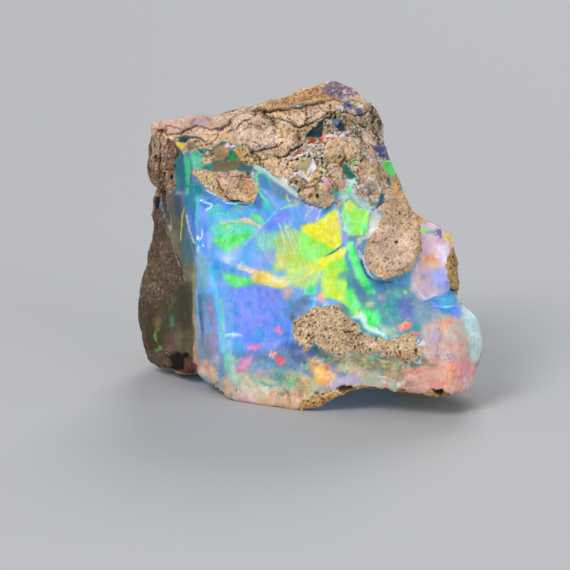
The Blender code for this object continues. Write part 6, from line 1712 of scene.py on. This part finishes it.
@dataclass(frozen=True)
class StoneBody:
    """The one stone: the frame's solid under a finer skin, broken up and coloured."""

    seed: int = 29             # chooses the pattern of everything that is not laid
    voxel: float = 0.30        # grid of the finer skin
    smoothing: int = 4         # passes that round the solid's facets off
    facing_limit: float = 0.4  # a face turned at least this much to the sheet gets the finest grid
    weld: float = 1e-6         # in metres: vertices of the frame's solid closer than this are one
    margin: float = 1e-4       # what is kept free inside the frame's box
    wave: tuple[float, float] = (0.05, 2.6)    # height and width of the waves on the opal
    shell: tuple[float, float] = (0.16, 3.4)   # height and width of its shell fractures
    lump: tuple[float, float] = (0.13, 0.9)    # height and width of the lumps of the rock
    bed: tuple[float, float] = (0.15, 0.9)     # the relief fades out between these heights above the floor

    def skin(self, node: bpy.types.Object) -> bpy.types.Object:
        """The frame's solid as a fine, even mesh, finest where it faces the layout sheet.

        Args:
            node: The frame's node.

        Returns:
            The mesh as a new object, in millimetres.
        """
        mesh = node.data.copy()
        shape = bmesh.new()
        shape.from_mesh(mesh)
        bmesh.ops.remove_doubles(shape, verts=shape.verts, dist=self.weld)
        bmesh.ops.scale(shape, verts=shape.verts, vec=(1.0 / MM,) * 3)
        shape.to_mesh(mesh)
        shape.free()
        mesh.materials.clear()
        stone = new_object("stone", mesh)
        grid = stone.modifiers.new("grid", "REMESH")
        grid.mode = "VOXEL"
        grid.voxel_size = self.voxel
        rounding = stone.modifiers.new("rounding", "SMOOTH")
        rounding.factor = 0.5
        rounding.iterations = self.smoothing
        apply_modifiers(stone)
        self.refine(stone.data)
        return stone

    def refine(self, mesh: bpy.types.Mesh) -> None:
        """Halves the grid where a face is turned to the layout sheet."""
        shape = bmesh.new()
        shape.from_mesh(mesh)
        outward = Vector(OUTWARD)
        front = [face for face in shape.faces if face.normal.dot(outward) > self.facing_limit]
        edges = list({edge for face in front for edge in face.edges})
        bmesh.ops.subdivide_edges(shape, edges=edges, cuts=1, use_grid_fill=True, smooth=0.0)
        odd = [face for face in shape.faces if len(face.verts) > 4]
        bmesh.ops.triangulate(shape, faces=odd)
        fine = [vert for vert in shape.verts if vert.normal.dot(outward) > self.facing_limit]
        for _ in range(2):
            bmesh.ops.smooth_vert(shape, verts=fine, factor=0.5, use_axis_x=True, use_axis_y=True,
                                  use_axis_z=True)
        shape.to_mesh(mesh)
        shape.free()

    def dress(self, stone: bpy.types.Object, sheet: LayoutSheet) -> None:
        """Breaks the skin up and colours it.

        Args:
            stone: The stone, in millimetres; it ends in metres.
            sheet: The marks to lay on its face.
        """
        mesh = stone.data
        places = read_vectors(mesh.vertices, "co")
        normals = read_vectors(mesh.vertex_normals, "vector")
        lattice = Lattice(self.seed)
        across, up, towards = on_sheet(places)
        facing = np.einsum("ij,ij->i", normals, towards)
        colour, traits = sheet.lay(across, up, lattice)
        laid = smooth_step(-0.02, 0.10, facing)
        surround = SurroundOpal()
        side_rock = surround.rock(places, lattice)
        side_colour = surround.colour(places, side_rock, lattice)
        colour = blend(side_colour, colour, laid)
        rock = side_rock + (traits[:, 0] - side_rock) * laid
        grit = 1.0 + (traits[:, 1] - 1.0) * laid
        colour, rock = OpalVeins().cut(places, colour, rock, traits[:, 2] * laid, lattice)
        colour, grain, grit = RockGrain().weather(places, colour, rock, grit, lattice)
        places = places + normals * (self.relief(places, rock, lattice) + grain)[:, None]
        low, high = (np.array(corner) / MM for corner in CAD_BOX)
        place_vertices(mesh, np.clip(places, low + self.margin, high - self.margin) * MM)
        self.store(mesh, "tint", to_linear(np.clip(colour, 0.0, 1.0)))
        self.store(mesh, "host", np.clip(rock, 0.0, 1.0))
        self.store(mesh, "grit", grit)
        mesh.shade_smooth()
        log.info("stone: %d vertices, %d faces, laid on %.0f%%", len(places), len(mesh.polygons),
                 100 * laid.mean())

    def relief(self, places: Array, rock: Array, lattice: Lattice) -> Array:
        """Height added along each normal: waves and shell fractures on the opal, lumps on the rock."""
        waves = self.wave[0] * lattice.smooth(places + 9.0, self.wave[1], 2)
        nearest, _, _ = lattice.cells(places + 70.0, self.shell[1])
        shells = self.shell[0] * (nearest ** 2 - 0.3)
        lumps = self.lump[0] * lattice.smooth(places + 4.0, self.lump[1], 3)
        bed = smooth_step(*self.bed, places[:, 2])
        return ((waves + shells) * (1.0 - rock) + lumps * rock) * bed

    @staticmethod
    def store(mesh: bpy.types.Mesh, name: str, values: Array) -> None:
        """Keeps one value, or one colour, per vertex."""
        if values.ndim == 2:
            layer = mesh.attributes.new(name, "FLOAT_COLOR", "POINT")
            layer.data.foreach_set("color", np.hstack([values, np.ones((len(values), 1))]).ravel())
        else:
            layer = mesh.attributes.new(name, "FLOAT", "POINT")
            layer.data.foreach_set("value", values)


class NodeSketch:
    """Short hands for building one shader node tree."""

    def __init__(self, tree: bpy.types.NodeTree) -> None:
        """Starts on an empty tree.

        Args:
            tree: The tree to build in.
        """
        self.tree = tree

    def add(self, kind: str, links: dict | None = None, **settings: object) -> bpy.types.Node:
        """Adds a node.

        Args:
            kind: The node's type.
            links: What each named or numbered input takes: a socket, or a plain value.
            settings: The node's own properties.

        Returns:
            The node.
        """
        node = self.tree.nodes.new(kind)
        for name, value in settings.items():
            setattr(node, name, value)
        for name, value in (links or {}).items():
            if isinstance(value, bpy.types.NodeSocket):
                self.tree.links.new(value, node.inputs[name])
            else:
                node.inputs[name].default_value = value
        return node

    def math(self, operation: str, *values: object) -> bpy.types.NodeSocket:
        """A math node's output."""
        return self.add("ShaderNodeMath", dict(enumerate(values)), operation=operation).outputs[0]

    def ramp(self, value: bpy.types.NodeSocket, low: float, high: float, start: float = 0.0,
             end: float = 1.0) -> bpy.types.NodeSocket:
        """Value from low to high as start to end, smoothly."""
        return self.add("ShaderNodeMapRange", {0: value, 1: low, 2: high, 3: start, 4: end},
                        interpolation_type="SMOOTHSTEP").outputs[0]

    def blend(self, share: object, first: object, second: object, how: str = "MIX") -> bpy.types.NodeSocket:
        """Two colours blended."""
        return self.add("ShaderNodeMix", {0: share, 6: first, 7: second}, data_type="RGBA",
                        blend_type=how).outputs[2]

    def noise(self, where: bpy.types.NodeSocket, scale: float, detail: float,
              roughness: float = 0.5) -> bpy.types.Node:
        """A noise texture."""
        return self.add("ShaderNodeTexNoise", {"Vector": where, "Scale": scale, "Detail": detail,
                                               "Roughness": roughness})

    def attribute(self, name: str, output: str = "Fac") -> bpy.types.NodeSocket:
        """What the mesh keeps under this name."""
        return self.add("ShaderNodeAttribute", attribute_name=name).outputs[output]

    def shifted(self, by: bpy.types.NodeSocket, amount: float,
                where: bpy.types.NodeSocket) -> bpy.types.NodeSocket:
        """Places shifted by a colour, up to an amount in metres."""
        return self.add("ShaderNodeVectorMath", {0: by, 1: (amount,) * 3, 2: where},
                        operation="MULTIPLY_ADD").outputs[0]

    def times(self, colour: bpy.types.NodeSocket, red: float, green: float,
              blue: float) -> bpy.types.NodeSocket:
        """A colour, channel by channel times three numbers."""
        return self.blend(1.0, colour, (red, green, blue, 1.0), "MULTIPLY")


def new_material(name: str) -> tuple[bpy.types.Material, NodeSketch]:
    """A material with an empty node tree, and a sketch to fill the tree with."""
    material = bpy.data.materials.new(name)
    material.use_nodes = True
    material.node_tree.nodes.clear()
    return material, NodeSketch(material.node_tree)


def overlay(sketch: NodeSketch, name: str, fill: Callable[[NodeSketch, bpy.types.Node], dict],
            tint: bpy.types.NodeSocket, amount: object) -> bpy.types.Node:
    """A pattern over a tint, from a shader node group that is made once and shared.

    Args:
        sketch: The tree that takes the pattern.
        name: The group's name.
        fill: Builds the group's inside and says what its Colour and Height are.
        tint: The colour to lay the pattern over.
        amount: How much of the pattern shows.

    Returns:
        The group's node, with the outputs Colour and Height.
    """
    group = bpy.data.node_groups.get(name)
    if group is None:
        group = bpy.data.node_groups.new(name, "ShaderNodeTree")
        for way, socket, kind in (("INPUT", "Tint", "Color"), ("INPUT", "Amount", "Float"),
                                  ("OUTPUT", "Colour", "Color"), ("OUTPUT", "Height", "Float")):
            group.interface.new_socket(name=socket, in_out=way, socket_type=f"NodeSocket{kind}")
        inside = NodeSketch(group)
        inside.add("NodeGroupOutput", fill(inside, inside.add("NodeGroupInput")))
    return sketch.add("ShaderNodeGroup", {"Tint": tint, "Amount": amount}, node_tree=group)


def fill_rock_speckle(sketch: NodeSketch, given: bpy.types.Node) -> dict[str, bpy.types.NodeSocket]:
    """Crystals and pin pores of the host rock, over any tint; the pin pores are darkened to near black as
    painted shade.
    """
    where = sketch.add("ShaderNodeTexCoord").outputs["Object"]
    tint, amount = given.outputs["Tint"], given.outputs["Amount"]
    fine = sketch.noise(where, 4300.0, 3.0, 0.75).outputs[0]
    broad = sketch.noise(where, 900.0, 3.0).outputs[0]
    pin = sketch.add("ShaderNodeTexVoronoi", {"Vector": where, "Scale": 2300.0}).outputs["Distance"]
    dark = sketch.ramp(fine, 0.53, 0.63)
    light = sketch.ramp(fine, 0.47, 0.34)
    pore = sketch.math("MULTIPLY", sketch.ramp(pin, 0.30, 0.12), sketch.ramp(broad, 0.45, 0.70))
    shade = sketch.blend(sketch.math("MULTIPLY", dark, 0.80), tint, sketch.times(tint, 0.28, 0.19, 0.13))
    shade = sketch.blend(sketch.math("MULTIPLY", light, 0.80), shade, sketch.times(tint, 1.75, 1.70, 1.60))
    # painted shade: the pin pores go near black
    shade = sketch.blend(sketch.math("MULTIPLY", pore, 0.85), shade, (0.03, 0.015, 0.01, 1.0))
    height = sketch.math("SUBTRACT", fine, sketch.math("MULTIPLY", pore, 1.2))
    return {"Colour": sketch.blend(amount, tint, shade), "Height": sketch.math("MULTIPLY", height, amount)}


def fill_play_of_colour(sketch: NodeSketch, given: bpy.types.Node) -> dict[str, bpy.types.NodeSocket]:
    """Small flashes, threads and clouds inside the opal, over any tint."""
    where = sketch.add("ShaderNodeTexCoord").outputs["Object"]
    cloud = sketch.noise(where, 700.0, 4.0, 0.6).outputs[0]
    bent = sketch.shifted(sketch.noise(where, 260.0, 1.0).outputs["Color"], 0.0016, where)
    ragged = sketch.shifted(sketch.noise(where, 1700.0, 3.0).outputs["Color"], 0.0007, bent)
    flash = sketch.add("ShaderNodeTexVoronoi", {"Vector": ragged, "Scale": 2100.0}).outputs["Color"]
    clouded = sketch.add("ShaderNodeHueSaturation", {
        "Hue": sketch.ramp(cloud, 0.25, 0.75, 0.482, 0.518),
        "Saturation": sketch.ramp(cloud, 0.7, 0.3, 0.86, 1.14),
        "Value": sketch.ramp(cloud, 0.3, 0.7, 0.93, 1.08), "Color": given.outputs["Tint"]}).outputs[0]
    tilt = sketch.add("ShaderNodeSeparateColor", {0: flash}).outputs[0]
    mixed = sketch.add("ShaderNodeHueSaturation", {
        "Hue": sketch.ramp(tilt, 0.0, 1.0, 0.49, 0.51), "Saturation": 1.0,
        "Value": sketch.ramp(tilt, 0.0, 1.0, 0.93, 1.07), "Color": clouded}).outputs[0]
    stretched = sketch.add("ShaderNodeMapping", {"Vector": bent, "Rotation": (0.0, 0.30, 0.0),
                                                 "Scale": (3600.0, 2500.0, 900.0)}).outputs[0]
    thread = sketch.noise(stretched, 1.0, 2.0).outputs[0]
    light, dark = sketch.times(mixed, 1.45, 1.40, 1.35), sketch.times(mixed, 0.72, 0.78, 0.82)
    mixed = sketch.blend(sketch.ramp(thread, 0.52, 0.74, 0.0, 0.5), mixed, light)
    mixed = sketch.blend(sketch.ramp(thread, 0.48, 0.26, 0.0, 0.5), mixed, dark)
    return {"Colour": sketch.blend(given.outputs["Amount"], given.outputs["Tint"], mixed), "Height": thread}


@dataclass(frozen=True)
class OpalInRock:
    """The stone's finish: glassy opal and dull porous rock, told apart by its host attribute."""

    opal_roughness: float = 0.30
    rock_roughness: float = 0.88
    # painted glow: emission of the opal's own colour, so it looks lit from within
    painted_glow: float = 0.16
    coat: float = 0.14
    coat_roughness: float = 0.14
    refraction: float = 1.45
    specular: float = 0.35
    scattered: float = 0.06       # share of the light that spreads below the surface
    scatter_depth: float = 0.7    # how far it spreads
    play: float = 0.8             # how much of the small flashes shows on clean opal
    bump: float = 0.12            # height of the grain
    bump_strength: float = 0.55

    def material(self) -> bpy.types.Material:
        """Builds the material.

        Returns:
            The material.
        """
        material, sketch = new_material("opal_in_rock")
        tint = sketch.attribute("tint", "Color")
        grit = sketch.attribute("grit")
        edge = sketch.ramp(sketch.attribute("host"), 0.35, 0.65)
        opal = sketch.math("SUBTRACT", 1.0, edge)
        calm = sketch.math("SUBTRACT", 1.0, sketch.math("MULTIPLY", edge, sketch.math("MINIMUM", grit, 1.0)))
        play = overlay(sketch, "play_of_colour", fill_play_of_colour, tint,
                       sketch.math("MULTIPLY", calm, self.play))
        speckle = overlay(sketch, "rock_speckle", fill_rock_speckle, play.outputs["Colour"],
                          sketch.math("MULTIPLY", edge, grit))
        colour = speckle.outputs["Colour"]
        grain = sketch.add("ShaderNodeBump", {"Strength": self.bump_strength, "Distance": self.bump * MM,
                                              "Height": speckle.outputs["Height"]}).outputs[0]
        # The opal emits its own colour as a painted glow; the rock gets black, so it has none.
        surface = sketch.add("ShaderNodeBsdfPrincipled", {
            "Base Color": colour, "Emission Color": sketch.blend(opal, (0.0, 0.0, 0.0, 1.0), colour),
            "Emission Strength": self.painted_glow, "IOR": self.refraction, "Specular IOR Level": self.specular,
            "Roughness": sketch.ramp(edge, 0.0, 1.0, self.opal_roughness, self.rock_roughness),
            "Coat Weight": sketch.math("MULTIPLY", opal, self.coat), "Coat Roughness": self.coat_roughness,
            "Subsurface Weight": self.scattered, "Subsurface Scale": self.scatter_depth * MM,
            "Subsurface Radius": (1.0, 0.9, 0.8), "Normal": grain})
        sketch.add("ShaderNodeOutputMaterial", {0: surface.outputs[0]})
        return material


@dataclass(frozen=True)
class GrainDust:
    """The finish of the loose crystals: the rock's own tint, each crystal lighter or darker."""

    roughness: float = 0.75
    saturation: float = 0.95
    speckle: float = 0.4    # how much of the rock's speckle shows

    def material(self) -> bpy.types.Material:
        """Builds the material.

        Returns:
            The material.
        """
        material, sketch = new_material("grain_dust")
        shaded = sketch.add("ShaderNodeHueSaturation", {
            "Hue": 0.5, "Saturation": self.saturation, "Value": sketch.attribute("tone"),
            "Color": sketch.attribute("tint", "Color")}).outputs[0]
        speckle = overlay(sketch, "rock_speckle", fill_rock_speckle, shaded, self.speckle)
        surface = sketch.add("ShaderNodeBsdfPrincipled", {"Base Color": speckle.outputs["Colour"],
                                                          "Roughness": self.roughness})
        sketch.add("ShaderNodeOutputMaterial", {0: surface.outputs[0]})
        return material


@dataclass(frozen=True)
class HostGrains:
    """Crystals standing out of the host rock, scattered by a geometry node tree."""

    per_square_mm: float = 6.0
    smallest: float = 0.05     # half width of the smallest crystal
    largest: float = 0.13      # half width of the largest
    surely_rock: float = 0.85  # crystals stand only where there is more rock than this
    darkest: float = 0.55      # brightness of the darkest crystal
    lightest: float = 1.45     # and of the lightest
    full_turn: float = 6.28    # the most that a crystal is turned by about each axis
    seed: int = 11

    def tree(self) -> bpy.types.NodeTree:
        """Builds the node tree that scatters them.

        Returns:
            The tree, with named inputs.
        """
        tree = bpy.data.node_groups.new("host_grains", "GeometryNodeTree")
        for name, kind in (("Geometry", "Geometry"), ("Density", "Float"), ("Smallest", "Float"),
                           ("Largest", "Float"), ("Seed", "Int"), ("Finish", "Material")):
            tree.interface.new_socket(name=name, in_out="INPUT", socket_type=f"NodeSocket{kind}")
        tree.interface.new_socket(name="Geometry", in_out="OUTPUT", socket_type="NodeSocketGeometry")
        sketch = NodeSketch(tree)
        given = sketch.add("NodeGroupInput").outputs
        host, grit = (sketch.add("GeometryNodeInputNamedAttribute", {"Name": name},
                                 data_type="FLOAT").outputs[0] for name in ("host", "grit"))
        sure = sketch.math("MULTIPLY", sketch.math("GREATER_THAN", host, self.surely_rock), grit)
        spread = sketch.add("GeometryNodeDistributePointsOnFaces", {
            "Mesh": given["Geometry"], "Density": sketch.math("MULTIPLY", sure, given["Density"]),
            "Seed": given["Seed"]})
        crystal = sketch.add("GeometryNodeMeshIcoSphere", {"Radius": 1.0, "Subdivisions": 1}).outputs[0]
        size = sketch.add("FunctionNodeRandomValue", {
            2: given["Smallest"], 3: given["Largest"], "Seed": given["Seed"]}, data_type="FLOAT").outputs[1]
        shape = sketch.add("FunctionNodeRandomValue", {0: (0.6, 0.5, 0.5), 1: (1.3, 1.0, 0.8)},
                           data_type="FLOAT_VECTOR").outputs[0]
        scale = sketch.add("ShaderNodeVectorMath", {0: shape, "Scale": size}, operation="SCALE").outputs[0]
        turn = sketch.add("FunctionNodeRandomValue", {1: (self.full_turn,) * 3},
                          data_type="FLOAT_VECTOR").outputs[0]
        placed = sketch.add("GeometryNodeInstanceOnPoints", {
            "Points": spread.outputs["Points"], "Instance": crystal, "Scale": scale,
            "Rotation": turn}).outputs[0]
        tone = sketch.add("FunctionNodeRandomValue", {2: self.darkest, 3: self.lightest},
                          data_type="FLOAT").outputs[1]
        toned = sketch.add("GeometryNodeStoreNamedAttribute", {
            "Geometry": placed, "Name": "tone", "Value": tone}, data_type="FLOAT", domain="INSTANCE").outputs[0]
        real = sketch.add("GeometryNodeRealizeInstances", {"Geometry": toned}).outputs[0]
        finished = sketch.add("GeometryNodeSetMaterial", {
            "Geometry": real, "Material": given["Finish"]}).outputs[0]
        sketch.add("NodeGroupOutput", {"Geometry": finished})
        return tree

    def build(self, stone: bpy.types.Object) -> bpy.types.Object:
        """Scatters the crystals over the stone's host rock.

        Args:
            stone: The finished stone.

        Returns:
            The crystals as one mesh object.
        """
        grains = new_object("host_grains", stone.data.copy())
        scatter = grains.modifiers.new("scatter", "NODES")
        scatter.node_group = self.tree()
        values = {"Density": self.per_square_mm / MM ** 2, "Smallest": self.smallest * MM,
                  "Largest": self.largest * MM, "Seed": self.seed, "Finish": GrainDust().material()}
        for item in scatter.node_group.interface.items_tree:
            if item.in_out == "INPUT" and item.name in values:
                scatter[item.identifier] = values[item.name]
        apply_modifiers(grains)
        keep_in_box(grains.data)
        log.info("host_grains: %d faces", len(grains.data.polygons))
        return grains


@dataclass(frozen=True)
class Studio:
    """A pale floor, soft lamps and the camera."""

    floor_half: float = 2.0      # in metres
    floor_colour: tuple[float, float, float, float] = (0.50, 0.50, 0.51, 1.0)
    room_colour: tuple[float, float, float, float] = (0.93, 0.95, 1.0, 1.0)
    room_light: float = 0.38
    aim: tuple[float, float, float] = (0.0, 0.0, 0.012)   # where the lamps point, in metres
    frame_width: float = 57.8    # what the image spans at the sheet's middle
    sensor: float = 36.0

    def build(self) -> None:
        """Lays the floor, hangs the lamps and sets the camera."""
        self.floor()
        self.light("key", (-0.34, -0.42, 0.52), 0.30, 2.9)
        self.light("fill", (0.48, -0.50, 0.26), 0.40, 1.0)
        self.light("rim", (0.10, 0.45, 0.42), 0.25, 1.2)
        world = bpy.data.worlds.new("soft_room")
        world.use_nodes = True
        background = world.node_tree.nodes["Background"]
        background.inputs["Color"].default_value = self.room_colour
        background.inputs["Strength"].default_value = self.room_light
        bpy.context.scene.world = world
        bpy.context.scene.view_settings.view_transform = "Standard"
        self.camera()

    def floor(self) -> None:
        """A plain pale floor that catches the stone's shadow."""
        mesh = bpy.data.meshes.new("floor")
        half = self.floor_half
        mesh.from_pydata([(-half, -half, 0), (half, -half, 0), (half, half, 0), (-half, half, 0)], [],
                         [(0, 1, 2, 3)])
        floor = new_object("floor", mesh)
        material, sketch = new_material("pale_floor")
        surface = sketch.add("ShaderNodeBsdfPrincipled", {"Base Color": self.floor_colour, "Roughness": 0.7})
        sketch.add("ShaderNodeOutputMaterial", {0: surface.outputs[0]})
        mesh.materials.append(material)

    def light(self, name: str, place: tuple[float, float, float], size: float, power: float) -> None:
        """Hangs one soft square lamp that faces the stone.

        Args:
            name: What it is called.
            place: Where it hangs, in metres.
            size: Its side, in metres.
            power: Its power, in watts.
        """
        lamp = bpy.data.lights.new(name, "AREA")
        lamp.size = size
        lamp.energy = power
        holder = new_object(name, lamp)
        holder.location = place
        holder.rotation_euler = (Vector(self.aim) - Vector(place)).to_track_quat("-Z", "Y").to_euler()

    def camera(self) -> None:
        """Sets the camera at the layout point."""
        lens = bpy.data.cameras.new("camera")
        lens.sensor_width = self.sensor
        lens.lens = self.sensor * SHEET_DISTANCE / self.frame_width
        lens.clip_start, lens.clip_end = 0.01, 10.0
        camera = new_object("camera", lens)
        camera.location = (SHEET_MIDDLE + SHEET_DISTANCE * OUTWARD) * MM
        camera.rotation_euler = (math.pi / 2.0 - SHEET_RISE, 0.0, 0.0)
        bpy.context.scene.camera = camera


def keep_in_box(mesh: bpy.types.Mesh) -> None:
    """Keeps every vertex of a mesh, in metres, inside the frame's box."""
    low, high = (np.array(corner) for corner in CAD_BOX)
    place_vertices(mesh, np.clip(read_vectors(mesh.vertices, "co"), low + ROUNDING, high - ROUNDING))


def main() -> None:
    """Builds the stone, its finish and the studio, in that order."""
    body = StoneBody()
    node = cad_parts["rough_opal"]
    stone = body.skin(node)
    body.dress(stone, LayoutSheet(ALL_MARKS))
    stone.data.materials.append(OpalInRock().material())
    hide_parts("rough_opal")
    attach(stone, "root")
    grains = HostGrains().build(stone)
    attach(grains, "root")
    Studio().build()


if __name__ == "__main__":
    main()
